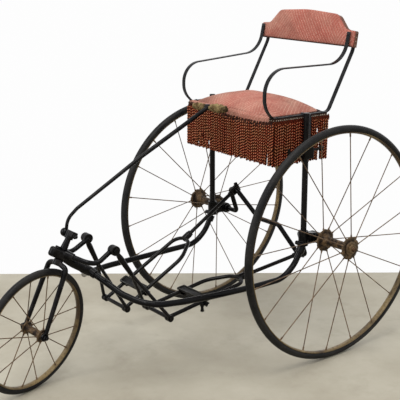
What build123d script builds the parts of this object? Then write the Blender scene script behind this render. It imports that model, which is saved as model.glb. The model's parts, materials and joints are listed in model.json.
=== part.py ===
from build123d import *
from collections import namedtuple
import math
import os

os.makedirs("parts", exist_ok=True)

# Treadle velocipede for one rider: two tall rear wheels on a cranked axle, a small steered front wheel,
# two treadles hung below a forked perch, and a fringed seat on two posts.
# Millimetres, +X forward, +Y to the rider's left, +Z up. The origin is on the ground under the middle of
# the length. A place given as "ahead" is measured forward of the rear axle.

# Fits between pieces
running_clearance = 0.05    # a shaft in its bore, on the radius
seat_clearance = 0.1        # a tyre in its rim, a plate on its bar
side_clearance = 0.3        # between the flat faces of pieces that turn past each other
sunk = 1.0                  # how far a spoke's ends are let into rim and hub
tube_gap = 7.0              # between a perch tube's end and the post above it, inside their socket

# Rear wheels
rear_wheel_radius = 355.6
rear_hub_gap = 10.1         # between a rear hub and the collar inboard of it
rear_tyre_section = 11.0
rear_flange_gap = 102.0
rear_flange_radius = 35.0
rear_barrel_radius = 12.5
rear_boss_radius = 21.0
rear_spoke_count = 10

# Front wheel
front_wheel_radius = 184.5
front_tyre_section = 9.5
front_flange_gap = 60.0
front_flange_radius = 19.0
front_barrel_radius = 10.0
front_boss_radius = 12.0
front_spoke_count = 8
front_axle_radius = 5.0

# Rims, hubs and spokes alike on the three wheels
rim_wall = 2.6
rim_depth_share = 0.3       # share of the tyre's section that the rim's edge stands inside its middle
spoke_radius = 1.5
spoke_seat = 4.0            # from the flange's edge in to the spoke's hole
spoke_stagger = 2.0         # of the spokes' outer ends from the rim's middle
flange_width = 5.0
hub_boss_length = 3.5
hub_flare_share = 0.4       # of the step from barrel to flange, for the flare beside each flange

# Steering: the axis is raked back, and the head lies on it head_ahead of the rear axle
rake = 30.3
head_ahead = 745.6
wheel_turn_angle = 17.55        # the front wheel is parked turned this far to the left
tiller_turn_angle = 4.5         # the tiller is clamped a little out of line with the wheel
wheel_setback = 31.0        # wheel centre behind the steering axis
stem_radius = 8.0
stem_foot_radius = 11.0
stem_neck_radius = 8.5
lug_top = 9.0               # heights along the steering axis, from the head
lug_bottom = -19.0
stem_top = 48.0
lug_radius = 15.0
nose_reach = 27.0
nose_radius = 12.0
nose_round = 8.0
oiler_radius = 8.0
oiler_reach = 18.0
oiler_rise = 5.0
neck_radius = 12.5
junction_radius = 14.0
junction_behind = 86.0      # the tubes' meeting place, behind and below the head
junction_below = 72.0
junction_length = 28.0
arm_boss_radius = 10.5
arm_boss_length = 26.0

# Fork
crown_depth = 18.0
crown_radius = 13.0
fork_clearance = 7.1        # from the crown down to the wheel, along the steering axis
shoulder_radius = 7.5       # a blade's radius at the crown and at the axle
blade_radius = 6.2
blade_spread = 33.0
blade_top = 46.0            # where the straight of the blade begins, below the head
tip_width = 7.0
tip_radius = 12.0
axle_nut_width = 5.0
axle_nut_across = 15.0
front_axle_stub = 4.0

# Tiller
clamp_radius = 12.5
clamp_bottom = 42.0
clamp_top = 66.0
tilt_height = 55.0          # of the cross bolt, along the steering axis
tilt_bolt_radius = 5.0
tilt_bolt_near = 33.0
tilt_bolt_square = 8.0
clamp_cheek = 22.0
clamp_cheek_size = 18.0
ball_radius = 12.5
ball_offset = 27.0
tiller_offset = 21.5
tiller_radius = 6.5
handle_radius = 5.5
handle_length = 150.0
handle_roll = 4.5           # the handle is a little twisted on its rod
socket_radius = 10.0
socket_length = 17.0
grip_length = 64.0
grip_radius = 12.0
grip_end_radius = 8.0

# Cranked axle
axle_radius = 7.5
crank_throw = 88.9
crank_angle = 70.0          # of the right-hand throw, up from straight ahead
crank_elbow = 12.0
crank_outer = 152.0
crank_inner = 113.0
crank_middle_left = 57.0
crank_middle_right = 40.0
hub_nut_width = 7.0
hub_nut_across = 24.0
stub_radius = 6.0
stub_length = 8.0

# Bearings at the feet of the seat posts
post_margin = 19.5          # from the seat's side out to the post's middle
bearing_margin = 0.5        # from the post's middle out to the bearing's
bearing_radius = 17.0
bearing_length = 34.0
axle_collar_radius = 13.0
axle_collar_width = 9.0
post_ahead = 49.5
post_radius = 9.0
post_foot_drop = 13.6       # of the post's foot below the axle
post_head_rise = 8.0        # of the post's top over the seat board
post_socket_radius = 15.0
post_socket_length = 42.0
bearing_web = 20.0
bearing_bolt_radius = 3.5
bearing_bolt_head = 6.5

# Perch tubes from the head to the bearings
tube_radius = 9.0

# Hangers and the arms that carry them
arm_radius = 7.0
arm_offset = 66.0
knob_behind = 121.4         # the hangers' pivot, behind and above the head
knob_rise = 2.4
knob_offset = 68.0
knob_radius = 14.0
knob_width = 12.0
pivot_radius = 5.0
pivot_head_radius = 8.0
pivot_head_width = 4.0
hanger_length = 248.4
hanger_eye_neck = 6.0       # radius of the stem where it leaves the eye, at its swell and at its fork
hanger_swell = 8.5
hanger_stem = 6.8
hanger_swell_place = 30.0
hanger_leg_radius = 5.1
hanger_split = 92.0
hanger_angle_right = 113.35  # each hanger's swing, down and back from straight ahead
hanger_angle_left = 122.36

# Treadles
lever_offset = 127.0
lever_rod_radius = 6.0
big_end_length = 34.0
big_end_height = 26.0
big_end_width = 16.0
big_end_slot = 2.4
toe_bar_radius = 6.0
toe_eye_radius = 10.0
toe_eye_width = 9.0
toe_arm_inner = 34.5
toe_arm_outer = 140.5
toe_leg_inner = 24.0
toe_leg_outer = 151.0
collar_radius = 11.0
collar_length = 26.0
collar_offset = 106.0
loop_shoulder = 78.0        # how far out the loop's inner arm begins to turn in
loop_run = 70.0             # length over which it does so
collar_from_pin_right = 245.0
collar_from_pin_left = 227.0
plate_from_toe_right = 81.0
plate_from_toe_left = 130.0
plate_length = 28.0
plate_thickness = 3.5
plate_overhang = 16.0
plate_bolt_radius = 2.5
plate_bolt_reach = 9.0
plate_clip_length = 20.0
plate_nut_across = 9.0
plate_nut_width = 4.0

# Seat
seat_front_ahead = 156.0
seat_rear_ahead = -60.0
seat_half_width = 204.0
seat_rise = 377.4           # of the board's top over the axle
seat_roll = -1.2            # the left-hand clamp is set a little lower than the right-hand one
seat_board_thickness = 16.0
seat_corner = 10.0
cushion_inset = 2.0
cushion_margin = 18.0       # from the board's side in to the cushion's
cushion_crown = 58.0
cushion_slope = 46.0
fringe_thickness = 5.0
fringe_drop = 4.0           # of the fringe's top and of its hem below the board's top
fringe_hem_drop = 141.0
leg_size = 9.0
leg_ahead = 35.0
leg_reach = 127.0           # of the leg below the board's top
leg_lug_thickness = 4.0
leg_margin = 15.5           # from the seat's side out to the leg's middle
post_clamp_drop = 93.0      # of the clamp's top below the board's
post_clamp_height = 34.0
post_clamp_margin = 4.0
clamp_rod_radius = 4.0
clamp_rod_front = 117.0
clamp_rod_rear = -17.0
clamp_rod_rise = 6.0
clamp_t_height = 26.0
clamp_t_radius = 4.5
clamp_nut_across = 15.0
clamp_nut_width = 9.0

# Side straps, bent from flat iron, and the back panel
strap_margin = 10.0         # from the seat's side in to the strap's middle
strap_width = 14.0
strap_thickness = 3.5
arm_nose_ahead = 188.0      # foremost point of the armrest's bow
arm_heel_ahead = -122.0     # where the armrest turns up to the panel
arm_rear_rise_left = 143.0  # of the armrest over the seat board, hand-bent a little differently on each side
arm_nose_rise_left = 143.0
arm_bow_left = 70.0         # radius of the armrest's bow
arm_rear_rise_right = 145.0
arm_nose_rise_right = 121.0
arm_bow_right = 61.0
back_bottom_ahead = -136.0
back_rise = 191.0           # of the panel's foot over the seat board
back_lean = 8.0
back_half_width = 209.0
back_end_height = 48.0
back_step = 170.0
back_shoulder = 132.0
back_shoulder_height = 90.0
back_crest_height = 103.0
back_pad_thickness = 12.0
back_board_thickness = 12.0

# Places that follow from the sizes above
axis_up = Vector(-math.sin(math.radians(rake)), 0, math.cos(math.radians(rake)))
axis_fore = Vector(math.cos(math.radians(rake)), 0, math.sin(math.radians(rake)))
left = Vector(0, 1, 0)
up = Vector(0, 0, 1)
fore = Vector(1, 0, 0)


def heading(turn):
    """Direction square to the steering axis that a wheel turned this far to the left rolls along."""
    return axis_fore * math.cos(math.radians(turn)) + left * math.sin(math.radians(turn))


def sideways(turn):
    """Direction of the axle of a wheel turned this far to the left."""
    return left * math.cos(math.radians(turn)) - axis_fore * math.sin(math.radians(turn))


front_ring = front_wheel_radius - front_tyre_section
front_normal = sideways(wheel_turn_angle)
front_axle_height = front_ring * math.sqrt(1 - front_normal.Z**2) + front_tyre_section
wheel_drop = front_wheel_radius + fork_clearance + crown_depth + side_clearance - lug_bottom
head_height = (
    front_axle_height + wheel_setback * heading(wheel_turn_angle).Z + wheel_drop * axis_up.Z
)
front_wheel_ahead = (
    head_ahead - wheel_drop * axis_up.X - wheel_setback * heading(wheel_turn_angle).X
)
front_reach = front_wheel_ahead + front_ring * math.sqrt(1 - front_normal.X**2) + front_tyre_section
rear_axle_x = rear_wheel_radius - (rear_wheel_radius + front_reach) / 2
axle_height = rear_wheel_radius
head = Vector(rear_axle_x + head_ahead, 0, head_height)
knob_ahead = head_ahead - knob_behind
knob_height = head_height + knob_rise
post_offset = seat_half_width + post_margin
bearing_offset = post_offset + bearing_margin
strap_offset = seat_half_width - strap_margin
seat_board_top = axle_height + seat_rise
post_bottom = axle_height - post_foot_drop
post_socket_top = post_bottom + post_socket_length
post_top = seat_board_top + post_head_rise


def ahead(x, y, z):
    """Point at a place measured forward of the rear axle."""
    return Vector(rear_axle_x + x, y, z)


def steered(forward, lateral, along, turn):
    """Point by the steering axis: square to it, to its left, and up along it."""
    return head + heading(turn) * forward + sideways(turn) * lateral + axis_up * along


def axis_plane(along, turn):
    """Plane square to the steering axis, its own X along the heading."""
    return Plane(origin=head + axis_up * along, x_dir=heading(turn), z_dir=axis_up)


def behind_head(back, y, down):
    """Point measured back and down from the head, and to the rider's left."""
    return head + fore * -back + left * y - up * down


def cross_plane(point, direction):
    """Plane through a point, square to a direction."""
    return Plane(origin=point, z_dir=direction)


def add_bar(points, radius, bends):
    """Sweep a round bar along straight runs joined by tangent arcs."""
    with BuildLine() as route:
        FilletPolyline(*points, radius=bends)
    with BuildSketch(cross_plane(route.line @ 0, route.line % 0)) as section:
        Circle(radius)
    sweep(sections=section.sketch, path=route.line)


def add_peg(start, end, radius, mode=Mode.ADD):
    """Straight round bar, or with Mode.SUBTRACT a bore, from one point to another."""
    with BuildSketch(cross_plane(start, end - start)) as section:
        Circle(radius)
    extrude(section.sketch, amount=(end - start).length, mode=mode)


def add_taper(start, end, start_radius, end_radius):
    """Straight round bar whose radius changes from one point to another."""
    with BuildSketch(cross_plane(start, end - start)) as thick:
        Circle(start_radius)
    with BuildSketch(cross_plane(end, end - start)) as thin:
        Circle(end_radius)
    loft([thick.sketch, thin.sketch])


def add_nut(start, end, across):
    """Hexagonal nut from one point to another."""
    with BuildSketch(cross_plane(start, end - start)) as section:
        RegularPolygon(across / 2, 6, major_radius=False)
    extrude(section.sketch, amount=(end - start).length)


def write(part, label):
    part.label = label
    export_step(part, f"parts/{label}.step")


seat_set = Pos(0, 0, seat_board_top) * Rot(seat_roll, 0, 0) * Pos(0, 0, -seat_board_top)


def write_on_seat(part, label):
    """Write a piece that sits over the posts, leaning with the seat."""
    write(seat_set * part, label)


WheelSizes = namedtuple(
    "WheelSizes",
    "radius section flange_gap flange_radius barrel boss axle spokes",
)
rear_sizes = WheelSizes(
    rear_wheel_radius, rear_tyre_section, rear_flange_gap, rear_flange_radius,
    rear_barrel_radius, rear_boss_radius, axle_radius, rear_spoke_count,
)
front_sizes = WheelSizes(
    front_wheel_radius, front_tyre_section, front_flange_gap, front_flange_radius,
    front_barrel_radius, front_boss_radius, front_axle_radius, front_spoke_count,
)


def hub_half(sizes):
    return sizes.flange_gap / 2 + flange_width / 2 + hub_boss_length


def build_wheel(name, centre, normal, rolling, sizes, first_spokes):
    """One wheel as tyre, rim, spokes and hub. first_spokes gives each flange's side and first angle."""
    rising = rolling.cross(normal)
    ring = sizes.radius - sizes.section
    section_plane = Plane(origin=centre, x_dir=rolling, z_dir=rising)
    axle_line = Axis(centre, normal)
    trough = sizes.section + seat_clearance

    with BuildPart() as tyre:
        with BuildSketch(section_plane):
            with Locations((ring, 0)):
                Circle(sizes.section)
        revolve(axis=axle_line)
    write(tyre.part, f"{name}_tyre")

    with BuildPart() as rim:
        with BuildSketch(section_plane):
            with Locations((ring, 0)):
                Circle(trough + rim_wall)
                Circle(trough, mode=Mode.SUBTRACT)
            with Locations((ring - rim_depth_share * sizes.section, 0)):
                Rectangle(
                    2 * sizes.section, 4 * sizes.section,
                    align=(Align.MIN, Align.CENTER), mode=Mode.SUBTRACT,
                )
        revolve(axis=axle_line)
    write(rim.part, f"{name}_rim")

    rim_inside = ring - trough - rim_wall
    with BuildPart() as spokes:
        for side, first_angle in first_spokes:
            for step in range(sizes.spokes):
                angle = math.radians(first_angle + step * 360 / sizes.spokes)
                radial = rolling * math.cos(angle) + rising * math.sin(angle)
                inner = (
                    centre + radial * (sizes.flange_radius - sunk)
                    + normal * (side * sizes.flange_gap / 2)
                )
                outer = centre + radial * (rim_inside + sunk) + normal * (side * spoke_stagger)
                add_peg(inner, outer, spoke_radius)
    write(spokes.part, f"{name}_spokes")

    bore = sizes.axle + running_clearance
    half = hub_half(sizes)
    flange_out = sizes.flange_gap / 2 + flange_width / 2
    flange_in = sizes.flange_gap / 2 - flange_width / 2
    flare = hub_flare_share * (sizes.flange_radius - sizes.barrel)
    with BuildPart() as hub:
        with BuildSketch(section_plane):
            with BuildLine():
                Polyline(
                    (bore, -half), (sizes.boss, -half), (sizes.boss, -flange_out),
                    (sizes.flange_radius, -flange_out), (sizes.flange_radius, -flange_in),
                    (sizes.barrel + flare, -flange_in), (sizes.barrel, -flange_in + 2 * flare),
                    (sizes.barrel, flange_in - 2 * flare), (sizes.barrel + flare, flange_in),
                    (sizes.flange_radius, flange_in), (sizes.flange_radius, flange_out),
                    (sizes.boss, flange_out), (sizes.boss, half), (bore, half),
                    close=True,
                )
            make_face()
        revolve(axis=axle_line)
    write(hub.part, f"{name}_hub")


# Rear wheels, outboard of the bearings: the angle of the first spoke is measured up from straight ahead
rear_hub_inner = bearing_offset + bearing_length / 2 + side_clearance + axle_collar_width + rear_hub_gap
rear_track = 2 * (rear_hub_inner + hub_half(rear_sizes))
for side, name, spoke_rows in (
    (1, "rear_left", ((1, 24.0), (-1, 4.5))),
    (-1, "rear_right", ((-1, 30.0), (1, 11.5))),
):
    build_wheel(name, ahead(0, side * rear_track / 2, axle_height), left, fore, rear_sizes, spoke_rows)

front_centre = steered(-wheel_setback, 0, -wheel_drop, wheel_turn_angle)
build_wheel(
    "front", front_centre, front_normal, heading(wheel_turn_angle), front_sizes, ((1, 28.5), (-1, 8.0))
)

# Cranked axle: one bent bar, turned down at its ends beyond the hub nuts
hub_end = rear_track / 2 + hub_half(rear_sizes)
nut_outer = hub_end + side_clearance + hub_nut_width
axle_end = nut_outer + stub_length
throw_direction = Vector(
    math.cos(math.radians(crank_angle)), 0, math.sin(math.radians(crank_angle))
)


def crank_point(y, reach):
    """Point of the crank, reach being its distance from the axle's line towards the right-hand throw."""
    return ahead(0, y, axle_height) + throw_direction * reach


with BuildPart() as crankshaft:
    crank_route = [
        crank_point(y, reach)
        for y, reach in (
            (nut_outer, 0),
            (crank_outer, 0),
            (crank_outer, -crank_throw),
            (crank_inner, -crank_throw),
            (crank_middle_left, 0),
            (-crank_middle_right, 0),
            (-crank_inner, crank_throw),
            (-crank_outer, crank_throw),
            (-crank_outer, 0),
            (-nut_outer, 0),
        )
    ]
    add_bar(crank_route, axle_radius, crank_elbow)
    for side in (1, -1):
        add_peg(crank_point(side * nut_outer, 0), crank_point(side * axle_end, 0), stub_radius)
write(crankshaft.part, "crankshaft")

with BuildPart() as hub_nuts:
    for side in (1, -1):
        nut_inner_face = crank_point(side * (nut_outer - hub_nut_width), 0)
        nut_outer_face = crank_point(side * nut_outer, 0)
        add_nut(nut_inner_face, nut_outer_face, hub_nut_across)
        add_peg(nut_inner_face, nut_outer_face, axle_radius + running_clearance, Mode.SUBTRACT)
write(hub_nuts.part, "hub_nuts")

with BuildPart() as axle_collars:
    for side in (1, -1):
        for collar_y in (
            bearing_offset - bearing_length / 2 - side_clearance - axle_collar_width,
            bearing_offset + bearing_length / 2 + side_clearance,
        ):
            collar_inner = crank_point(side * collar_y, 0)
            collar_outer = crank_point(side * (collar_y + axle_collar_width), 0)
            add_peg(collar_inner, collar_outer, axle_collar_radius)
            add_peg(collar_inner, collar_outer, axle_radius + running_clearance, Mode.SUBTRACT)
write(axle_collars.part, "axle_collars")

def perch_route(side):
    """Line of a perch tube, from the junction at the head back to its socket under the post."""
    near_head = [
        behind_head(back, side * y, down)
        for back, y, down in ((85.6, 8, 71), (101.6, 48, 90), (124.6, 104, 118))
    ]
    low_run = [
        ahead(x, side * (post_offset - inset), axle_height - drop)
        for x, inset, drop in (
            (594, 71.5, 94),
            (550, 43.5, 104),
            (480, 25.5, 105.6),
            (400, 16, 107.6),
            (235, 3.5, 109),
            (128, 1.5, 107.6),
            (82, 0.5, 70.6),
        )
    ]
    socket = ahead(post_ahead + 5, side * post_offset, post_bottom - tube_gap)
    return near_head + low_run + [socket]


# Bearings, posts and perch tubes, the same on both sides
for side, name in ((1, "left"), (-1, "right")):
    bearing_y = side * bearing_offset
    post_y = side * post_offset
    tube_route = perch_route(side)
    tube_bends = [60, 90, 90, 110, 300, 500, 900, 90, 110]

    with BuildPart() as bearing:
        add_peg(
            ahead(0, bearing_y - bearing_length / 2, axle_height),
            ahead(0, bearing_y + bearing_length / 2, axle_height),
            bearing_radius,
        )
        add_peg(
            ahead(post_ahead, post_y, post_bottom - 4),
            ahead(post_ahead, post_y, post_socket_top),
            post_socket_radius,
        )
        with BuildSketch(Plane.XZ.offset(-bearing_y)) as web:
            with BuildLine():
                Polyline(
                    (rear_axle_x, axle_height + bearing_radius - 2),
                    (rear_axle_x + post_ahead, post_socket_top - 4),
                    (rear_axle_x + post_ahead, post_bottom),
                    (rear_axle_x, axle_height - bearing_radius + 2),
                    close=True,
                )
            make_face()
        extrude(web.sketch, amount=bearing_web / 2, both=True)
        tube_mouth = tube_route[-1] + (tube_route[-2] - tube_route[-1]) * 0.35
        add_peg(tube_mouth, tube_route[-1], post_socket_radius - 2)
        for bolt_x, bolt_rise in ((25, 10.4), (post_ahead + 14, 4 - post_foot_drop)):
            bolt = ahead(bolt_x, bearing_y, axle_height + bolt_rise)
            add_peg(bolt - left * (bearing_web / 2 + 6), bolt + left * (bearing_web / 2 + 6), bearing_bolt_head)
        add_peg(
            ahead(0, bearing_y - bearing_length, axle_height),
            ahead(0, bearing_y + bearing_length, axle_height),
            axle_radius + running_clearance,
            Mode.SUBTRACT,
        )
        add_peg(
            ahead(post_ahead, post_y, post_bottom),
            ahead(post_ahead, post_y, post_socket_top + 1),
            post_radius + running_clearance,
            Mode.SUBTRACT,
        )
        add_peg(
            tube_route[-1],
            tube_route[-1] + (tube_route[-2] - tube_route[-1]) * 0.5,
            tube_radius + running_clearance,
            Mode.SUBTRACT,
        )
    write(bearing.part, f"bearing_{name}")

    with BuildPart() as post:
        add_peg(ahead(post_ahead, post_y, post_bottom), ahead(post_ahead, post_y, post_top), post_radius)
    write(post.part, f"post_{name}")

    with BuildPart() as perch_tube:
        add_bar(tube_route, tube_radius, tube_bends)
    write(perch_tube.part, f"perch_tube_{name}")

def arm_route(side):
    """Line of a hanger's arm, from beside the stem out and back to its eye."""
    return [
        behind_head(back, side * y, down)
        for back, y, down in (
            (6.6, 9, 2.5),
            (40.6, 60, 20),
            (69.6, 70, 28),
            (knob_behind, arm_offset, -knob_rise),
        )
    ]


# Head casting: the nose lug that the stem turns in, and the neck down to the junction of the tubes
with BuildPart() as head_casting:
    with BuildSketch(axis_plane(lug_bottom, 0)) as lug_outline:
        Circle(lug_radius)
        with Locations((nose_reach, 0)):
            Circle(nose_radius)
        make_hull()
    extrude(lug_outline.sketch, amount=lug_top - lug_bottom)
    fillet(head_casting.edges().filter_by(GeomType.LINE, reverse=True), radius=nose_round)
    oiler_foot = steered(oiler_reach, 0, lug_top - 2, 0)
    add_peg(oiler_foot, oiler_foot + axis_up * (oiler_rise + 2), oiler_radius)
    neck_start = steered(nose_reach / 2, 0, (lug_top + lug_bottom) / 2, 0)
    junction = behind_head(junction_behind, 0, junction_below)
    neck_bend = behind_head(32, 0, 36)
    add_bar([neck_start, neck_bend, junction], neck_radius, 90)
    junction_front = junction + (neck_bend - junction).normalized() * junction_length
    add_peg(junction_front, junction, junction_radius)
    for side in (1, -1):
        arm = arm_route(side)
        arm_direction = (arm[1] - arm[0]).normalized()
        add_taper(arm[0], arm[0] + arm_direction * arm_boss_length, arm_boss_radius + 2, arm_boss_radius - 1)
        tube = perch_route(side)
        tube_direction = (tube[1] - tube[0]).normalized()
        add_peg(tube[0] - tube_direction * 8, tube[0] + tube_direction * 16, junction_radius - 1.5)
    add_peg(
        steered(0, 0, lug_bottom - 30, 0), steered(0, 0, lug_top + 30, 0),
        stem_radius + running_clearance, Mode.SUBTRACT,
    )
    add_peg(
        steered(0, 0, lug_bottom - 30, 0), steered(0, 0, lug_bottom, 0),
        crown_radius + 1.5, Mode.SUBTRACT,
    )
    add_peg(
        steered(0, 0, lug_top, 0), steered(0, 0, lug_top + 30, 0),
        stem_foot_radius + 1.5, Mode.SUBTRACT,
    )
    for side in (1, -1):
        arm = arm_route(side)
        add_peg(arm[0], arm[1], arm_radius + running_clearance, Mode.SUBTRACT)
        tube = perch_route(side)
        add_peg(tube[0], tube[1], tube_radius + running_clearance, Mode.SUBTRACT)
write(head_casting.part, "head_casting")

# Arms that curve out from the head to the hangers' pivots
for side, name in ((1, "left"), (-1, "right")):
    knob_inner = knob_offset - knob_width / 2
    knob_outer = knob_offset + knob_width / 2
    hanger_outer = knob_outer + side_clearance + knob_width
    knob = ahead(knob_ahead, side * knob_offset, knob_height)
    with BuildPart() as hanger_arm:
        add_bar(arm_route(side), arm_radius, [40, 34])
        add_peg(
            ahead(knob_ahead, side * knob_inner, knob_height),
            ahead(knob_ahead, side * knob_outer, knob_height),
            knob_radius,
        )
        add_peg(knob, ahead(knob_ahead, side * (hanger_outer + side_clearance), knob_height), pivot_radius)
        pivot_head = ahead(knob_ahead, side * (hanger_outer + side_clearance), knob_height)
        add_peg(pivot_head, pivot_head + left * (side * pivot_head_width), pivot_head_radius)
        add_peg(
            steered(0, 0, lug_bottom - 30, 0), steered(0, 0, lug_top + 30, 0),
            stem_radius + running_clearance, Mode.SUBTRACT,
        )
    write(hanger_arm.part, f"hanger_arm_{name}")

# Treadles: lever, yoke, foot plate and hanger
Treadle = namedtuple("Treadle", "side name pin length along above down collar plate")


def treadle_line(side, name, reach, angle, collar, plate):
    """A treadle's places, from its crank throw and from how far its hanger has swung."""
    down = Vector(math.cos(math.radians(angle)), 0, -math.sin(math.radians(angle)))
    pin = crank_point(0, reach)
    toe = ahead(knob_ahead, 0, knob_height) + down * hanger_length
    along = (toe - pin).normalized()
    return Treadle(side, name, pin, (toe - pin).length, along, along.cross(left), down, collar, plate)


def on_lever(treadle, u, y, w):
    """Point on a lever: u from the crank pin, y from the middle of the machine, w above."""
    return treadle.pin + treadle.along * u + left * (treadle.side * y) + treadle.above * w


def on_rod(treadle, u, w):
    """Point on the lever's rear rod, which runs a little inwards from the pin to the collar."""
    return on_lever(treadle, u, lever_offset + (collar_offset - lever_offset) * u / treadle.collar, w)


def on_hanger(treadle, t, y):
    """Point on a hanger: t down from its pivot, y from the middle of the machine."""
    return ahead(knob_ahead, treadle.side * y, knob_height) + treadle.down * t


treadles = (
    treadle_line(
        1, "left", -crank_throw, hanger_angle_left, collar_from_pin_left, plate_from_toe_left
    ),
    treadle_line(
        -1, "right", crank_throw, hanger_angle_right, collar_from_pin_right, plate_from_toe_right
    ),
)
for treadle in treadles:
    rod_start = big_end_length / 2
    collar_rear = treadle.collar - collar_length / 2
    collar_front = treadle.collar + collar_length / 2

    with BuildPart() as treadle_rod:
        with BuildSketch(
            Plane(
                origin=on_lever(treadle, -rod_start, lever_offset, 0),
                x_dir=left, z_dir=treadle.along,
            )
        ) as block:
            RectangleRounded(big_end_width, big_end_height, 4)
        extrude(block.sketch, amount=big_end_length)
        add_peg(
            on_rod(treadle, rod_start - 2, 0), on_rod(treadle, collar_front - 4, 0), lever_rod_radius
        )
        add_nut(on_rod(treadle, rod_start - 1, 0), on_rod(treadle, rod_start + 9, 0), 17)
        add_peg(
            on_lever(treadle, -big_end_length / 2 + 5, lever_offset, -big_end_height / 2 - 6),
            on_lever(treadle, -big_end_length / 2 + 5, lever_offset, big_end_height / 2 + 7),
            3.5,
        )
        add_nut(
            on_lever(treadle, -big_end_length / 2 + 5, lever_offset, big_end_height / 2),
            on_lever(treadle, -big_end_length / 2 + 5, lever_offset, big_end_height / 2 + 6),
            12,
        )
        add_peg(
            on_lever(treadle, 0, lever_offset - big_end_width, 0),
            on_lever(treadle, 0, lever_offset + big_end_width, 0),
            axle_radius + running_clearance,
            Mode.SUBTRACT,
        )
    write(treadle_rod.part, f"treadle_rod_{treadle.name}")

    with BuildPart() as yoke:
        add_peg(on_rod(treadle, collar_rear, 0), on_rod(treadle, collar_front, 0), collar_radius)
        add_nut(on_rod(treadle, collar_rear - 7, 0), on_rod(treadle, collar_rear + 1, 0), 19)
        apex = collar_front - 3
        loop_places = (
            (treadle.length, toe_arm_outer),
            (apex, toe_arm_outer),
            (apex, loop_shoulder),
            (apex + loop_run, toe_arm_inner),
            (treadle.length, toe_arm_inner),
        )
        add_bar([on_lever(treadle, u, y, 0) for u, y in loop_places], lever_rod_radius, [34, 40, 90])
        for arm_y in (toe_arm_inner, toe_arm_outer):
            add_peg(
                on_lever(treadle, treadle.length, arm_y - toe_eye_width / 2, 0),
                on_lever(treadle, treadle.length, arm_y + toe_eye_width / 2, 0),
                toe_eye_radius,
            )
        add_peg(
            on_lever(treadle, treadle.length, toe_leg_inner - toe_eye_width / 2 - 3, 0),
            on_lever(treadle, treadle.length, toe_leg_outer + toe_eye_width / 2 + 3, 0),
            toe_bar_radius,
        )
        add_peg(
            on_rod(treadle, collar_rear - 10, 0),
            on_rod(treadle, collar_front - 4 + side_clearance, 0),
            lever_rod_radius + running_clearance,
            Mode.SUBTRACT,
        )
    write(yoke.part, f"treadle_yoke_{treadle.name}")

    hanger_y = knob_offset + knob_width + side_clearance
    stem_y = hanger_y + 2
    with BuildPart() as hanger:
        add_peg(
            on_hanger(treadle, 0, hanger_y - knob_width / 2),
            on_hanger(treadle, 0, hanger_y + knob_width / 2),
            knob_radius,
        )
        for upper, lower, upper_radius, lower_radius in (
            (knob_radius - 3, hanger_swell_place, hanger_eye_neck, hanger_swell),
            (hanger_swell_place, hanger_split, hanger_swell, hanger_stem),
        ):
            add_taper(
                on_hanger(treadle, upper, stem_y), on_hanger(treadle, lower, stem_y),
                upper_radius, lower_radius,
            )
        for leg_y in (toe_leg_outer, toe_leg_inner):
            add_bar(
                [
                    on_hanger(treadle, hanger_split - 30, stem_y),
                    on_hanger(treadle, hanger_split, stem_y),
                    on_hanger(treadle, hanger_length - 9, leg_y),
                ],
                hanger_leg_radius,
                50,
            )
            add_peg(
                on_hanger(treadle, hanger_length, leg_y - toe_eye_width / 2),
                on_hanger(treadle, hanger_length, leg_y + toe_eye_width / 2),
                toe_eye_radius,
            )
            add_peg(
                on_hanger(treadle, hanger_length, leg_y - toe_eye_width),
                on_hanger(treadle, hanger_length, leg_y + toe_eye_width),
                toe_bar_radius + running_clearance,
                Mode.SUBTRACT,
            )
        add_peg(
            on_hanger(treadle, 0, hanger_y - knob_width),
            on_hanger(treadle, 0, hanger_y + knob_width),
            pivot_radius + running_clearance,
            Mode.SUBTRACT,
        )
    write(hanger.part, f"hanger_{treadle.name}")

with BuildPart() as foot_plates:
    plate_w = lever_rod_radius + seat_clearance
    for treadle in treadles:
        plate_u = treadle.length - treadle.plate
        with BuildSketch(
            Plane(
                origin=on_lever(treadle, plate_u, (toe_arm_inner + toe_arm_outer) / 2, plate_w),
                x_dir=treadle.along, z_dir=treadle.above,
            )
        ) as plate_outline:
            RectangleRounded(
                plate_length, toe_arm_outer - toe_arm_inner + 2 * plate_overhang, plate_length / 3
            )
        extrude(plate_outline.sketch, amount=plate_thickness)
        for arm_y in (toe_arm_inner, toe_arm_outer):
            with BuildSketch(
                Plane(origin=on_lever(treadle, plate_u, arm_y, -plate_w), x_dir=treadle.along, z_dir=treadle.above * -1)
            ) as clip_outline:
                RectangleRounded(plate_clip_length, 2 * (plate_bolt_reach + 5), 4)
            extrude(clip_outline.sketch, amount=plate_thickness)
            for reach in (-plate_bolt_reach, plate_bolt_reach):
                bolt_bottom = -plate_w - plate_thickness - plate_nut_width
                add_peg(
                    on_lever(treadle, plate_u, arm_y + reach, bolt_bottom - 3),
                    on_lever(treadle, plate_u, arm_y + reach, plate_w + plate_thickness + 1.5),
                    plate_bolt_radius,
                )
                add_nut(
                    on_lever(treadle, plate_u, arm_y + reach, bolt_bottom),
                    on_lever(treadle, plate_u, arm_y + reach, bolt_bottom + plate_nut_width + 0.5),
                    plate_nut_across,
                )
write(foot_plates.part, "foot_plates")

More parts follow.
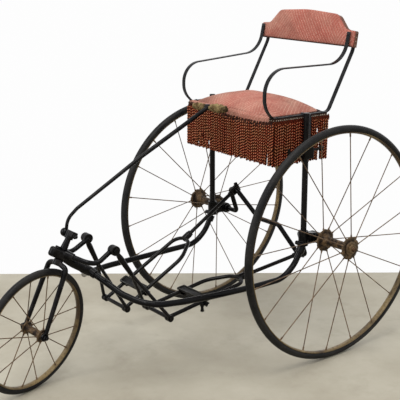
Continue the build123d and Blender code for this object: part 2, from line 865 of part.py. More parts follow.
# Fork: stem, crown and two blades
with BuildPart() as fork:
    crown_top = lug_bottom - side_clearance
    crown_bottom = crown_top - crown_depth
    with BuildSketch(axis_plane(crown_bottom, wheel_turn_angle)) as crown_outline:
        Circle(crown_radius)
    extrude(crown_outline.sketch, amount=crown_depth)
    fillet(fork.edges().filter_by(GeomType.CIRCLE), radius=3)
    add_peg(
        steered(0, 0, crown_bottom + 2, wheel_turn_angle),
        steered(0, 0, lug_top + side_clearance + 2, wheel_turn_angle),
        stem_radius,
    )
    foot = lug_top + side_clearance
    with BuildSketch(Plane(origin=head, x_dir=axis_fore, z_dir=left * -1)) as stem_profile:
        with BuildLine():
            Polyline(
                (0, foot), (stem_foot_radius, foot), (stem_foot_radius - 0.5, foot + 5),
                (stem_neck_radius, clamp_bottom - 4), (stem_neck_radius, stem_top), (0, stem_top),
                close=True,
            )
        make_face()
    revolve(stem_profile.sketch, axis=Axis(head, axis_up))
    blade_middle = (crown_top + crown_bottom) / 2
    tip_offset = hub_half(front_sizes) + side_clearance + tip_width / 2
    for side in (1, -1):
        shoulder = steered(-8, side * (blade_spread + 1), -blade_top - 8, wheel_turn_angle)
        blade_foot = steered(-wheel_setback, side * tip_offset, -wheel_drop + 11, wheel_turn_angle)
        blade_line = (blade_foot - shoulder).normalized()
        add_bar(
            [
                steered(0, side * 3, blade_middle, wheel_turn_angle),
                shoulder - blade_line * 18,
                shoulder,
            ],
            shoulder_radius,
            13,
        )
        add_taper(shoulder, blade_foot, shoulder_radius, blade_radius)
        add_peg(
            steered(-wheel_setback, side * (tip_offset - tip_width / 2), -wheel_drop, wheel_turn_angle),
            steered(-wheel_setback, side * (tip_offset + tip_width / 2), -wheel_drop, wheel_turn_angle),
            tip_radius,
        )
    add_peg(
        steered(-wheel_setback, -2 * tip_offset, -wheel_drop, wheel_turn_angle),
        steered(-wheel_setback, 2 * tip_offset, -wheel_drop, wheel_turn_angle),
        front_axle_radius + running_clearance,
        Mode.SUBTRACT,
    )
    for side in (1, -1):
        hub_side = side * (tip_offset - tip_width / 2 - 0.1)
        add_peg(
            steered(-wheel_setback, hub_side, -wheel_drop, wheel_turn_angle),
            steered(-wheel_setback, 0, -wheel_drop, wheel_turn_angle),
            front_boss_radius + 6,
            Mode.SUBTRACT,
        )
write(fork.part, "fork")


def on_front_axle(lateral):
    return steered(-wheel_setback, lateral, -wheel_drop, wheel_turn_angle)


with BuildPart() as front_axle:
    nut_inner = tip_offset + tip_width / 2 + seat_clearance
    axle_half = nut_inner + axle_nut_width + front_axle_stub
    add_peg(on_front_axle(-axle_half), on_front_axle(axle_half), front_axle_radius)
    for side in (1, -1):
        add_nut(
            on_front_axle(side * nut_inner),
            on_front_axle(side * (nut_inner + axle_nut_width)),
            axle_nut_across,
        )
write(front_axle.part, "front_axle")


def tilted(forward, lateral, along):
    return steered(forward, lateral, along, tiller_turn_angle)


# Tiller clamp on the stem's top, with the cross bolt that the tiller tips on
with BuildPart() as tiller_clamp:
    add_peg(tilted(0, 0, clamp_bottom), tilted(0, 0, clamp_top), clamp_radius)
    cheek = Plane(
        origin=tilted(0, 0, tilt_height + 2), x_dir=heading(tiller_turn_angle), z_dir=sideways(tiller_turn_angle)
    )
    with BuildSketch(cheek) as cheek_outline:
        RectangleRounded(clamp_cheek_size, clamp_cheek_size, 4)
    extrude(cheek_outline.sketch, amount=clamp_cheek)
    with BuildSketch(cheek.offset(clamp_cheek - 1)) as bolt_end:
        with Locations((0, 2)):
            Rectangle(tilt_bolt_square, tilt_bolt_square)
    extrude(bolt_end.sketch, amount=tilt_bolt_near - clamp_cheek + 1)
    add_peg(
        tilted(0, 0, tilt_height), tilted(0, -ball_offset - 6, tilt_height), tilt_bolt_radius
    )
    add_peg(
        tilted(0, 0, clamp_bottom - 5), tilted(0, 0, stem_top + side_clearance),
        stem_neck_radius + running_clearance, Mode.SUBTRACT,
    )
write(tiller_clamp.part, "tiller_clamp")

# Tiller: ball on the cross bolt, the bent rod and the cross handle
tiller_route = [
    tilted(forward, -tiller_offset, along)
    for along, forward in (
        (tilt_height + 3, 0),
        (90, 14),
        (128, -1),
        (335, -131.5),
        (571, -295),
    )
]
handle_middle = tiller_route[-1]
handle_line = (
    sideways(tiller_turn_angle) * math.cos(math.radians(handle_roll))
    + axis_up * math.sin(math.radians(handle_roll))
)
with BuildPart() as tiller:
    with Locations(tilted(0, -ball_offset, tilt_height)):
        Sphere(ball_radius)
    add_bar(tiller_route, tiller_radius, [45, 50, 700])
    add_peg(
        handle_middle - handle_line * (socket_length / 2),
        handle_middle + handle_line * (socket_length / 2),
        socket_radius,
    )
    add_peg(
        handle_middle - handle_line * (handle_length / 2 - 2),
        handle_middle + handle_line * (handle_length / 2 - 2),
        handle_radius,
    )
    add_peg(
        tilted(0, -clamp_radius - side_clearance, tilt_height),
        tilted(0, -ball_offset - 6 - side_clearance, tilt_height),
        tilt_bolt_radius + running_clearance, Mode.SUBTRACT,
    )
write(tiller.part, "tiller")

with BuildPart() as grips:
    for side in (1, -1):
        inner = socket_length / 2 + side_clearance
        middle = inner + grip_length * 0.45
        outer = inner + grip_length
        with BuildSketch(
            Plane(origin=handle_middle, x_dir=handle_line * side, z_dir=axis_fore.cross(handle_line * side))
        ) as grip_profile:
            with BuildLine():
                low = handle_radius + running_clearance
                Line((inner, low), (inner, grip_end_radius))
                ThreePointArc((inner, grip_end_radius), (middle, grip_radius), (outer, grip_end_radius))
                Line((outer, grip_end_radius), (outer, low))
                Line((outer, low), (inner, low))
            make_face()
        revolve(grip_profile.sketch, axis=Axis(handle_middle, handle_line * side))
write(grips.part, "grips")

# Seat board, cushion and fringe
seat_middle = rear_axle_x + (seat_front_ahead + seat_rear_ahead) / 2
seat_depth = seat_front_ahead - seat_rear_ahead
with BuildPart() as seat_board:
    with BuildSketch(Plane(origin=(seat_middle, 0, seat_board_top - seat_board_thickness))):
        RectangleRounded(seat_depth, 2 * seat_half_width, seat_corner)
    extrude(amount=seat_board_thickness)
write_on_seat(seat_board.part, "seat_board")

cushion_foot = seat_board_top + seat_clearance
with BuildPart() as cushion:
    for rise, inset in ((0, 0), (cushion_crown * 0.35, 4), (cushion_crown, cushion_slope)):
        with BuildSketch(Plane(origin=(seat_middle, 0, cushion_foot + rise))):
            RectangleRounded(
                seat_depth - 2 * cushion_inset - 2 * inset,
                2 * (seat_half_width - cushion_margin - inset),
                16,
            )
    loft(ruled=True)
write_on_seat(cushion.part, "seat_cushion")

with BuildPart() as fringe:
    fringe_bottom = seat_board_top - fringe_hem_drop
    fringe_height = fringe_hem_drop - fringe_drop
    for x_low, x_high, y_low, y_high in (
        (seat_front_ahead, seat_front_ahead + fringe_thickness, -seat_half_width, seat_half_width),
        (seat_rear_ahead, seat_front_ahead - seat_corner, seat_half_width, seat_half_width + fringe_thickness),
        (seat_rear_ahead, seat_front_ahead - seat_corner, -seat_half_width - fringe_thickness, -seat_half_width),
    ):
        with BuildSketch(
            Plane(origin=(rear_axle_x + (x_low + x_high) / 2, (y_low + y_high) / 2, fringe_bottom))
        ) as panel:
            Rectangle(x_high - x_low - seat_clearance, y_high - y_low - seat_clearance)
        extrude(panel.sketch, amount=fringe_height)
write_on_seat(fringe.part, "seat_fringe")

# Back panel: board behind, pad in front, both with the stepped crest
back_plane = Plane(
    origin=ahead(back_bottom_ahead, 0, seat_board_top + back_rise),
    x_dir=left,
    z_dir=Vector(math.cos(math.radians(back_lean)), 0, math.sin(math.radians(back_lean))),
)


def back_outline():
    """Crest-topped outline of the panel, as a sketch on its own plane."""
    half = [
        (back_half_width, 0),
        (back_half_width, back_end_height),
        (back_step, back_end_height + 3),
        (back_shoulder, back_shoulder_height),
    ]
    mirrored = [(-x, y) for x, y in reversed(half)]
    with BuildLine() as outline:
        FilletPolyline(*half, (0, back_crest_height), *mirrored, radius=[5, 24, 30, 500, 30, 24, 5])
        Line(half[0], mirrored[-1])
    return make_face(outline.edges())


for name, depth_front, depth_back in (
    ("back_pad", 0, back_pad_thickness),
    ("back_board", back_pad_thickness + seat_clearance, back_pad_thickness + back_board_thickness),
):
    with BuildPart() as panel:
        with BuildSketch(back_plane.offset(-depth_back)) as face:
            back_outline()
        extrude(face.sketch, amount=depth_back - depth_front)
    write_on_seat(panel.part, name)

# Side straps: front of the panel, armrest, seat edge and upright in one bent flat bar
panel_up = back_plane.y_dir
panel_out = back_plane.z_dir
for side, name, rear_rise, nose_rise, bow in (
    (1, "left", arm_rear_rise_left, arm_nose_rise_left, arm_bow_left),
    (-1, "right", arm_rear_rise_right, arm_nose_rise_right, arm_bow_right),
):
    strap_y = left * (side * strap_offset)
    front_face = back_plane.origin + strap_y + panel_out * (strap_thickness / 2 + seat_clearance)
    back_face = (
        back_plane.origin + strap_y
        - panel_out * (back_pad_thickness + back_board_thickness + strap_thickness / 2 + seat_clearance)
    )
    rail_rise = strap_thickness / 2 + seat_clearance
    strap_route = [front_face + panel_up * 44] + [
        ahead(x, side * strap_offset, seat_board_top + rise)
        for x, rise in (
            (arm_heel_ahead, rear_rise),
            (arm_nose_ahead, nose_rise),
            (arm_nose_ahead, 33),
            (arm_nose_ahead - 31.5, rail_rise),
            (-66, rail_rise),
        )
    ] + [back_face - panel_up * 8, back_face + panel_up * 38]
    strap_bends = [72, bow, bow, 14, 20, 50]
    with BuildPart() as strap:
        with BuildLine() as strap_line:
            FilletPolyline(*strap_route, radius=strap_bends)
        with BuildSketch(
            Plane(origin=strap_line.line @ 0, x_dir=left, z_dir=strap_line.line % 0)
        ) as strap_section:
            Rectangle(strap_width, strap_thickness)
        sweep(sections=strap_section.sketch, path=strap_line.line)
    write_on_seat(strap.part, f"side_strap_{name}")

# Seat legs that slide behind the posts, each held by a clamp with a tee-headed rod
leg_y = seat_half_width + leg_margin
leg_bottom = seat_board_top - leg_reach
lug_low = seat_board_top + strap_thickness + 2 * seat_clearance
lug_inner = strap_offset - strap_width / 2
lug_outer = leg_y + leg_size / 2
post_clamp_top = seat_board_top - post_clamp_drop
post_clamp_bottom = post_clamp_top - post_clamp_height
with BuildPart() as seat_legs:
    for side in (1, -1):
        lug_place = seat_set * Pos(ahead(leg_ahead, side * (lug_inner + lug_outer) / 2, lug_low))
        with BuildSketch(Plane(lug_place)) as leg_lug:
            Rectangle(leg_size, lug_outer - lug_inner)
        extrude(leg_lug.sketch, amount=leg_lug_thickness)
        leg_top = (seat_set * Pos(ahead(leg_ahead, side * leg_y, lug_low + leg_lug_thickness / 2))).position.Z
        with BuildSketch(Plane(origin=ahead(leg_ahead, side * leg_y, leg_bottom))) as leg_section:
            Rectangle(leg_size, leg_size)
        extrude(leg_section.sketch, amount=leg_top - leg_bottom)
write(seat_legs.part, "seat_legs")

clamp_x_low = leg_ahead - leg_size / 2 - post_clamp_margin
clamp_x_high = post_ahead + post_radius + post_clamp_margin
clamp_y_low = post_offset - post_radius - 2
clamp_y_high = post_offset + post_radius + post_clamp_margin
with BuildPart() as post_clamps:
    for side in (1, -1):
        clamp_middle = ahead(
            (clamp_x_low + clamp_x_high) / 2, side * (clamp_y_low + clamp_y_high) / 2, post_clamp_bottom
        )
        with BuildSketch(Plane(origin=clamp_middle)) as clamp_outline:
            RectangleRounded(clamp_x_high - clamp_x_low, clamp_y_high - clamp_y_low, 3)
        extrude(clamp_outline.sketch, amount=post_clamp_top - post_clamp_bottom)
        rod_y = side * (post_offset + 1)
        rod_z = (post_clamp_bottom + post_clamp_top) / 2 + clamp_rod_rise
        add_peg(
            ahead(clamp_rod_rear, rod_y, rod_z), ahead(clamp_rod_front, rod_y, rod_z), clamp_rod_radius
        )
        add_peg(
            ahead(clamp_rod_front, rod_y, rod_z - clamp_t_height / 2),
            ahead(clamp_rod_front, rod_y, rod_z + clamp_t_height / 2),
            clamp_t_radius,
        )
        add_nut(
            ahead(clamp_rod_rear, rod_y, rod_z),
            ahead(clamp_rod_rear + clamp_nut_width, rod_y, rod_z),
            clamp_nut_across,
        )
        add_peg(
            ahead(post_ahead, side * post_offset, post_clamp_bottom - 5),
            ahead(post_ahead, side * post_offset, post_clamp_top + 5),
            post_radius + running_clearance,
            Mode.SUBTRACT,
        )
        with BuildSketch(Plane(origin=ahead(leg_ahead, side * leg_y, leg_bottom - 5))) as leg_slot:
            Rectangle(leg_size + 2 * running_clearance, leg_size + 2 * running_clearance)
        extrude(leg_slot.sketch, amount=post_clamp_top - leg_bottom + 10, mode=Mode.SUBTRACT)
write(post_clamps.part, "post_clamps")
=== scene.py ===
import bpy
import bmesh
import json
from math import acos, atan2, cos, exp, pi, radians, sin, tan
import numpy as np
from mathutils import Matrix, Vector


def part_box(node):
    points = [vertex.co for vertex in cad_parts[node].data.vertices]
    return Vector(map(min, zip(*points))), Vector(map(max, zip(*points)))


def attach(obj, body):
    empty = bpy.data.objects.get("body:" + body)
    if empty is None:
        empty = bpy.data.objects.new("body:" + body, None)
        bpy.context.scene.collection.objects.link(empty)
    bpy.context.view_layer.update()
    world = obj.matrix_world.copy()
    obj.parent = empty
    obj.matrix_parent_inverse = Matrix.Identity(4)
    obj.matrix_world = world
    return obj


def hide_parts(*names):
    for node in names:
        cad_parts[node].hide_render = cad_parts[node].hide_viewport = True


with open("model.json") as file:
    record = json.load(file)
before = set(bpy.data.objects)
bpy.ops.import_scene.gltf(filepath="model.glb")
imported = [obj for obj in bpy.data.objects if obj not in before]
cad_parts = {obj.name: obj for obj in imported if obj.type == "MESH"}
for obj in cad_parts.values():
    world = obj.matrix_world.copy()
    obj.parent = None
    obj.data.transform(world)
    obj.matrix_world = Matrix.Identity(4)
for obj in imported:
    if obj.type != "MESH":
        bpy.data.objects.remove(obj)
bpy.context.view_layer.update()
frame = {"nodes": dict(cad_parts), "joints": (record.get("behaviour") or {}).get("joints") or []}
nodes = frame["nodes"]
joints = {joint["name"]: joint for joint in frame["joints"]}

hubLow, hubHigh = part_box("rear_left_hub")
axleX = (hubLow.x + hubHigh.x) / 2
mm = 0.001
xAxis, yAxis, zAxis = np.eye(3)


def at(x, y, z):
    # a place in millimetres: ahead of the rear axle, to the left of the middle, above the ground
    return np.array([axleX + x * mm, y * mm, z * mm])


def unit(v):
    v = np.asarray(v, float)
    return v / np.linalg.norm(v, axis=-1, keepdims=True)


# surfaces

def patch(grid, closeAlong=False, capped=False, shade=None):
    # grid[i, j] is a surface: i runs along the piece and j round it, so that d/dj x d/di points out;
    # a cap is a fan of triangles about the middle of the end's ring
    rows, cols = grid.shape[:2]
    i, j = np.meshgrid(np.arange(rows if closeAlong else rows - 1), np.arange(cols), indexing="ij")
    i, j = i.ravel(), j.ravel()
    corners = [(i, j), (i, j + 1), (i + 1, j + 1), (i + 1, j)]
    quads = np.stack([(a % rows) * cols + b % cols for a, b in corners], 1)
    points = grid.reshape(-1, 3)
    shades = np.zeros(rows * cols) if shade is None else shade.ravel()
    tris = [np.zeros((0, 3), int)]
    for row in (0, rows - 1) if capped else ():
        ring = row * cols + np.arange(cols)
        middle, following = np.full(cols, len(points)), np.roll(ring, -1)
        tris.append(np.stack([middle, ring, following] if row else [middle, following, ring], 1))
        points = np.vstack([points, grid[row].mean(0)])
        shades = np.append(shades, shades[ring].mean())
    return points, quads, np.vstack(tris), shades


def addObject(name, data):
    made = bpy.data.objects.new(name, data)
    bpy.context.scene.collection.objects.link(made)
    return made


def dress(piece, material):
    piece.data.materials.clear()
    piece.data.materials.append(material)


def makePiece(name, patches, material, body="frame", replaced=(), turnOut=True):
    # patches are joined into one mesh object that rides on a body
    points, faces, shades, offset = [], [], [], 0
    for verts, quads, tris, shade in patches:
        points.append(verts)
        shades.append(shade)
        faces += (quads + offset).tolist() + (tris + offset).tolist()
        offset += len(verts)
    mesh = bpy.data.meshes.new(name)
    mesh.from_pydata(np.vstack(points).tolist(), [], faces)
    attribute = mesh.attributes.new("shade", "FLOAT", "POINT")
    attribute.data.foreach_set("value", np.concatenate(shades).astype(np.float32))
    if turnOut:
        work = bmesh.new()
        work.from_mesh(mesh)
        bmesh.ops.recalc_face_normals(work, faces=work.faces)
        work.to_mesh(mesh)
        work.free()
    mesh.shade_smooth()
    mesh.materials.append(material)
    piece = addObject(name, mesh)
    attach(piece, body)
    if replaced:
        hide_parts(*replaced)
    return piece


def pointsOf(mesh):
    flat = np.zeros(len(mesh.vertices) * 3)
    mesh.vertices.foreach_get("co", flat)
    return flat.reshape(-1, 3)


def roundedPath(corners, radii, step=4 * mm):
    # straight runs; a corner that turns by w gets an arc of radius r, which starts r tan(w/2) before it
    corners = [np.asarray(c, float) for c in corners]
    runs = [corners[0]]
    arcs = []
    for before, corner, after, radius in zip(corners, corners[1:], corners[2:], radii):
        a, b = unit(before - corner), unit(after - corner)
        turn = pi - acos(np.clip(a @ b, -1, 1))
        cut = radius * tan(turn / 2)
        centre = corner + unit(a + b) * radius / cos(turn / 2)
        start = corner + a * cut
        w = np.linspace(0, turn, max(4, int(radius * turn / step) + 2))[:, None]
        arcs.append(centre + (start - centre) * np.cos(w) - a * radius * np.sin(w))
        runs.append(arcs[-1][0])
        runs.append(arcs[-1][-1])
    runs.append(corners[-1])
    pieces = []
    for k in range(0, len(runs), 2):
        count = max(2, int(np.linalg.norm(runs[k + 1] - runs[k]) / (3 * step)) + 2)
        pieces.append(runs[k] + (runs[k + 1] - runs[k]) * np.linspace(0, 1, count)[:, None])
        if k // 2 < len(arcs):
            pieces.append(arcs[k // 2])
    path = np.vstack(pieces)
    keep = np.append(True, np.linalg.norm(np.diff(path, axis=0), axis=1) > 1e-6)
    return path[keep]


def circle(count):
    return np.linspace(0, 2 * pi, count, endpoint=False)


def tangents(path):
    return unit(np.gradient(path, axis=0))


def tubeGrid(path, radius, sides=16, roundEnd=0.3):
    # rings of radius r(t) square to the path, carried along it without twist; the ends turn in by roundEnd r
    path = np.asarray(path, float)
    radius = np.broadcast_to(np.asarray(radius, float), len(path)).copy()
    along = tangents(path)
    w = np.linspace(0, pi / 2, 5)[:-1][::-1]
    first, last = along[0] * roundEnd * radius[0], along[-1] * roundEnd * radius[-1]
    lead = path[0] + first - first * np.sin(w)[:, None]
    tail = path[-1] - last + last * np.sin(w[::-1])[:, None]
    fromStart, fromEnd = (np.linalg.norm(path - path[k], axis=1) for k in (0, -1))
    inner = (fromStart > roundEnd * radius[0]) & (fromEnd > roundEnd * radius[-1])
    shrink = 1 - roundEnd * (1 - np.cos(w))
    path = np.vstack([lead, path[inner], tail])
    along = np.vstack([np.repeat(along[:1], 4, 0), along[inner], np.repeat(along[-1:], 4, 0)])
    radius = np.concatenate([radius[0] * shrink, radius[inner], radius[-1] * shrink[::-1]])
    side = unit(np.cross(along[0], zAxis if abs(along[0][2]) < 0.9 else xAxis))
    normals = []
    for t in along:
        side = unit(side - t * (side @ t))
        normals.append(side)
    normals = np.array(normals)
    binormals = np.cross(along, normals)
    angle = circle(sides)[None, :, None]
    ring = normals[:, None] * np.cos(angle) + binormals[:, None] * np.sin(angle)
    return path[:, None] + ring * radius[:, None, None]


def tube(path, radius, sides=16, roundEnd=0.3):
    return patch(tubeGrid(path, radius, sides, roundEnd), capped=True)


def straight(start, end, count=2):
    return start + (end - start) * np.linspace(0, 1, count)[:, None]


def turned(centre, axis, profile, steps=48, closed=True, ripple=None):
    # a profile of (distance from the axis, height along it) turned about the axis
    axis = unit(axis)
    side = unit(np.cross(axis, zAxis if abs(axis[2]) < 0.9 else xAxis))
    up = np.cross(axis, side)
    profile = np.asarray(profile, float)
    angle = circle(steps)
    radial = side * np.cos(angle)[:, None] + up * np.sin(angle)[:, None]
    reach = np.repeat(profile[:, :1], steps, 1)
    if ripple is not None:
        reach = reach * ripple(angle)
    grid = centre + radial[None] * reach[..., None] + (axis * profile[:, 1:2])[:, None]
    return patch(grid, closeAlong=closed, capped=not closed)


def ball(centre, radius, count=16):
    w = np.linspace(0, pi, count)[1:-1]
    return turned(centre, zAxis, np.stack([radius * np.sin(w), -radius * np.cos(w)], 1), 2 * count, False)


def carried(path, section, side):
    # a closed section of (along side, square to side) carried along a path that stays square to side
    along = tangents(path)
    out = unit(np.cross(along, side))
    grid = path[:, None] + section[None, :, :1] * side + section[None, :, 1:] * out[:, None]
    return patch(grid, capped=True)


def flatSection(width, thickness, corner=0.3, count=6):
    # a rectangle whose corners are quarter arcs
    r = min(width, thickness) * corner
    w = np.linspace(0, pi / 2, count)
    places = []
    for k, (sx, sy) in enumerate(((1, 1), (-1, 1), (-1, -1), (1, -1))):
        a = w + k * pi / 2
        places.append(np.stack([
            sx * (width / 2 - r) + r * np.cos(a), sy * (thickness / 2 - r) + r * np.sin(a)
        ], 1))
    return np.vstack(places)


# finishes

def addNode(tree, kind, inputs=(), **settings):
    # inputs pairs a socket's name or number with a value, or with the socket that feeds it
    made = tree.nodes.new(kind)
    for key, value in settings.items():
        setattr(made, key, value)
    for key, value in dict(inputs).items():
        if hasattr(value, "links"):
            tree.links.new(value, made.inputs[key])
        else:
            made.inputs[key].default_value = value
    return made


class Finish:
    # a material and short calls for the nodes that make it
    def __init__(self, name, color, roughness, metallic=0.0, specular=0.5, coords="Object"):
        self.material = bpy.data.materials.new(name)
        self.material.use_nodes = True
        self.tree = self.material.node_tree
        self.shader = self.tree.nodes["Principled BSDF"]
        self.shader.inputs["Base Color"].default_value = (*color, 1)
        self.shader.inputs["Roughness"].default_value = roughness
        self.shader.inputs["Metallic"].default_value = metallic
        self.shader.inputs["Specular IOR Level"].default_value = specular
        self.place = self.add("ShaderNodeTexCoord").outputs[coords]

    def add(self, kind, inputs=(), **settings):
        return addNode(self.tree, kind, inputs, **settings)

    def noise(self, scale, detail=4.0, rough=0.55, squash=None):
        source = self.stretched(self.place, squash) if squash else self.place
        inputs = {"Vector": source, "Scale": scale, "Detail": detail, "Roughness": rough}
        return self.add("ShaderNodeTexNoise", inputs).outputs["Fac"]

    def stretched(self, source, scale, turn=(0, 0, 0)):
        inputs = {"Vector": source, "Scale": scale, "Rotation": turn}
        return self.add("ShaderNodeMapping", inputs).outputs["Vector"]

    def math(self, operation, a, b=0.0, clamp=False):
        return self.add("ShaderNodeMath", {0: a, 1: b}, operation=operation, use_clamp=clamp).outputs[0]

    def times(self, *values):
        return self.math("MULTIPLY", *values)

    def plus(self, *values):
        return self.math("ADD", *values)

    def most(self, *values):
        return self.math("MAXIMUM", *values)

    def range(self, value, low, high, toLow=0.0, toHigh=1.0):
        return self.add("ShaderNodeMapRange", {0: value, 1: low, 2: high, 3: toLow, 4: toHigh}).outputs[0]

    def clouds(self, scale, detail, rough, low, high):
        return self.range(self.noise(scale, detail, rough), low, high)

    def mix(self, factor, a, b):
        a, b = (value if hasattr(value, "links") else (*value, 1) for value in (a, b))
        return self.add("ShaderNodeMix", {0: factor, 6: a, 7: b}, data_type="RGBA").outputs[2]

    def wave(self, scale, place, direction, distortion):
        inputs = {"Vector": place, "Scale": scale, "Distortion": distortion, "Detail": 1.0}
        return self.add("ShaderNodeTexWave", inputs, bands_direction=direction).outputs["Fac"]

    def edges(self):
        return self.add("ShaderNodeNewGeometry").outputs["Pointiness"]

    def attribute(self, name):
        return self.add("ShaderNodeAttribute", attribute_name=name).outputs["Fac"]

    def color(self, value):
        self.tree.links.new(value, self.shader.inputs["Base Color"])

    def roughness(self, value):
        self.tree.links.new(value, self.shader.inputs["Roughness"])

    def bump(self, height, strength, distance, before=None):
        inputs = {"Strength": strength, "Distance": distance, "Height": height}
        if before:
            inputs["Normal"] = before
        made = self.add("ShaderNodeBump", inputs).outputs["Normal"]
        self.tree.links.new(made, self.shader.inputs["Normal"])
        return made


def blackEnamel(name, wear=0.5, base=(0.0022, 0.0021, 0.0026), worn=(0.042, 0.038, 0.038), bareBeyond=None):
    # old black enamel: worn grey where an edge is sharp, dull clouds, a little rust, and past bareBeyond
    # metres from the middle it is bare rusty iron
    mat = Finish(name, base, 0.42, specular=0.13)
    cloud = mat.clouds(38, 6, 0.6, 0.46, 0.74)
    grain = mat.noise(420, 4, 0.65)
    edge = mat.range(mat.edges(), 0.57, 0.66)
    scuff = mat.times(edge, mat.range(grain, 0.35, 0.6))
    scuff = mat.times(mat.plus(scuff, mat.times(cloud, 0.16)), wear, True)
    rusty = mat.clouds(70, 8, 0.7, 0.60, 0.72)
    paint = mat.mix(mat.times(rusty, 0.5), mat.mix(scuff, base, worn), (0.022, 0.012, 0.008))
    if bareBeyond:
        sideways = mat.math("ABSOLUTE", mat.add("ShaderNodeSeparateXYZ", {0: mat.place}).outputs["Y"])
        reach = mat.plus(sideways, mat.times(grain, 0.002))
        bare = mat.mix(cloud, (0.070, 0.036, 0.019), (0.19, 0.115, 0.060))
        paint = mat.mix(mat.range(reach, bareBeyond - 0.001, bareBeyond + 0.001), paint, bare)
    mat.color(paint)
    mat.roughness(mat.range(mat.plus(cloud, rusty), 0, 1.6, 0.15, 0.42))
    near = mat.bump(grain, 0.10, 0.0006)
    mat.bump(mat.noise(95, 3), 0.22, 0.0012, near)
    return mat.material


def agedRubber():
    # charcoal rubber with grey dust in clouds and fine pale specks
    mat = Finish("agedRubber", (0.02, 0.02, 0.02), 0.6, specular=0.16)
    dust = mat.clouds(9, 6, 0.62, 0.42, 0.74)
    speck = mat.noise(260, 3, 0.6)
    dark = mat.mix(dust, (0.0060, 0.0060, 0.0066), (0.030, 0.028, 0.026))
    mat.color(mat.mix(mat.range(speck, 0.60, 0.78), dark, (0.060, 0.055, 0.048)))
    mat.roughness(mat.range(dust, 0, 1, 0.42, 0.70))
    mat.bump(speck, 0.16, 0.0008)
    return mat.material


def rimEnamel():
    # brown paint worn through to a dull gold in patches, with dark flecks
    mat = Finish("rimEnamel", (0.15, 0.10, 0.045), 0.45, specular=0.25)
    patchy = mat.clouds(7, 7, 0.66, 0.40, 0.62)
    flecks = mat.clouds(150, 5, 0.7, 0.50, 0.66)
    gold = mat.mix(patchy, (0.060, 0.038, 0.020), (0.255, 0.180, 0.078))
    mat.color(mat.mix(mat.times(flecks, 0.6), gold, (0.032, 0.019, 0.012)))
    mat.roughness(mat.range(flecks, 0, 1, 0.34, 0.7))
    mat.bump(mat.noise(190, 4, 0.6), 0.2, 0.0006)
    return mat.material


def rustyWire():
    mat = Finish("rustyWire", (0.15, 0.09, 0.05), 0.55, metallic=0.15, specular=0.25)
    bands = mat.clouds(34, 6, 0.66, 0.38, 0.66)
    mat.color(mat.mix(bands, (0.070, 0.040, 0.022), (0.225, 0.150, 0.088)))
    mat.bump(mat.noise(600, 3), 0.15, 0.0003)
    return mat.material


def hubRust():
    mat = Finish("hubRust", (0.17, 0.10, 0.05), 0.55, metallic=0.2, specular=0.25)
    scale = mat.noise(48, 8, 0.68)
    brass = mat.range(scale, 0.44, 0.62)
    brown = mat.mix(brass, (0.012, 0.006, 0.003), (0.150, 0.090, 0.042))
    edge = mat.range(mat.edges(), 0.51, 0.58)
    mat.color(mat.mix(mat.times(edge, 0.35), brown, (0.26, 0.18, 0.10)))
    mat.roughness(mat.range(scale, 0.3, 0.7, 0.72, 0.40))
    near = mat.bump(mat.noise(300, 5, 0.7), 0.3, 0.0007)
    mat.bump(scale, 0.4, 0.0016, near)
    return mat.material


def strapIron():
    mat = Finish("strapIron", (0.012, 0.012, 0.014), 0.4, specular=0.17)
    cloud = mat.clouds(26, 7, 0.64, 0.42, 0.68)
    edge = mat.range(mat.edges(), 0.53, 0.60)
    wear = mat.plus(mat.times(cloud, 0.30), mat.times(edge, 0.6), True)
    iron = mat.mix(wear, (0.0035, 0.0036, 0.0044), (0.046, 0.047, 0.052))
    rusty = mat.clouds(85, 6, 0.7, 0.62, 0.72)
    mat.color(mat.mix(mat.times(rusty, 0.5), iron, (0.050, 0.026, 0.016)))
    mat.roughness(mat.range(cloud, 0, 1, 0.26, 0.52))
    mat.bump(mat.noise(240, 4, 0.6), 0.18, 0.0006)
    return mat.material


def pinkCloth(name, ground=(0.43, 0.135, 0.100), thread=(0.70, 0.43, 0.34), dusty=(0.50, 0.27, 0.200),
              stain=(0.100, 0.042, 0.028)):
    # faded cloth: fine ribs, pale threads that slant one way here and the other way there, dust and stains
    mat = Finish(name, ground, 0.9, coords="UV", specular=0.12)
    place = mat.place
    waver = mat.noise(9, 3, 0.5)
    leaning = mat.range(waver, 0.50, 0.56)
    lines = []
    for slant, weak, strong in ((37, 0.18, 1.0), (-37, 1.0, 0.18)):
        where = mat.stretched(place, (1, 1, 1), (0, 0, radians(slant)))
        threads = mat.range(mat.wave(33.0, where, "X", 1.8), 0.78, 0.99)
        lines.append(mat.times(threads, mat.range(leaning, 0, 1, weak, strong)))
    pale = mat.most(*lines)
    broken = mat.times(pale, mat.clouds(210, 4, 0.7, 0.36, 0.60))
    ribs = mat.wave(155, mat.stretched(place, (1, 1, 1), (0, 0, radians(8))), "Y", 1.5)
    picks = mat.wave(170, place, "X", 1.5)
    weave = mat.times(ribs, picks)
    fade = mat.clouds(5.5, 6, 0.62, 0.38, 0.64)
    tone = mat.mix(fade, ground, dusty)
    tone = mat.mix(mat.times(weave, 0.45), tone, tuple(c * 0.5 for c in ground))
    tone = mat.mix(mat.times(broken, 0.75), tone, thread)
    blotch = mat.clouds(17, 5, 0.6, 0.45, 0.62)
    tone = mat.mix(mat.times(blotch, 0.45), tone, tuple(c * 0.62 for c in ground))
    soil = mat.clouds(12, 7, 0.68, 0.54, 0.72)
    # the shade attribute pulls the cloth towards the stain colour: with the cushion's dirt along its edges and
    # at its front spot, towards the apron's worn hem, over the whole inner face of the apron, and over the back
    # pad's lowest 7 mm
    darkening = mat.most(mat.times(soil, 0.34), mat.times(mat.attribute("shade"), 0.9))
    mat.color(mat.mix(darkening, tone, stain))
    near = mat.bump(weave, 0.35, 0.0006)
    mat.bump(pale, 0.25, 0.0009, near)
    return mat.material


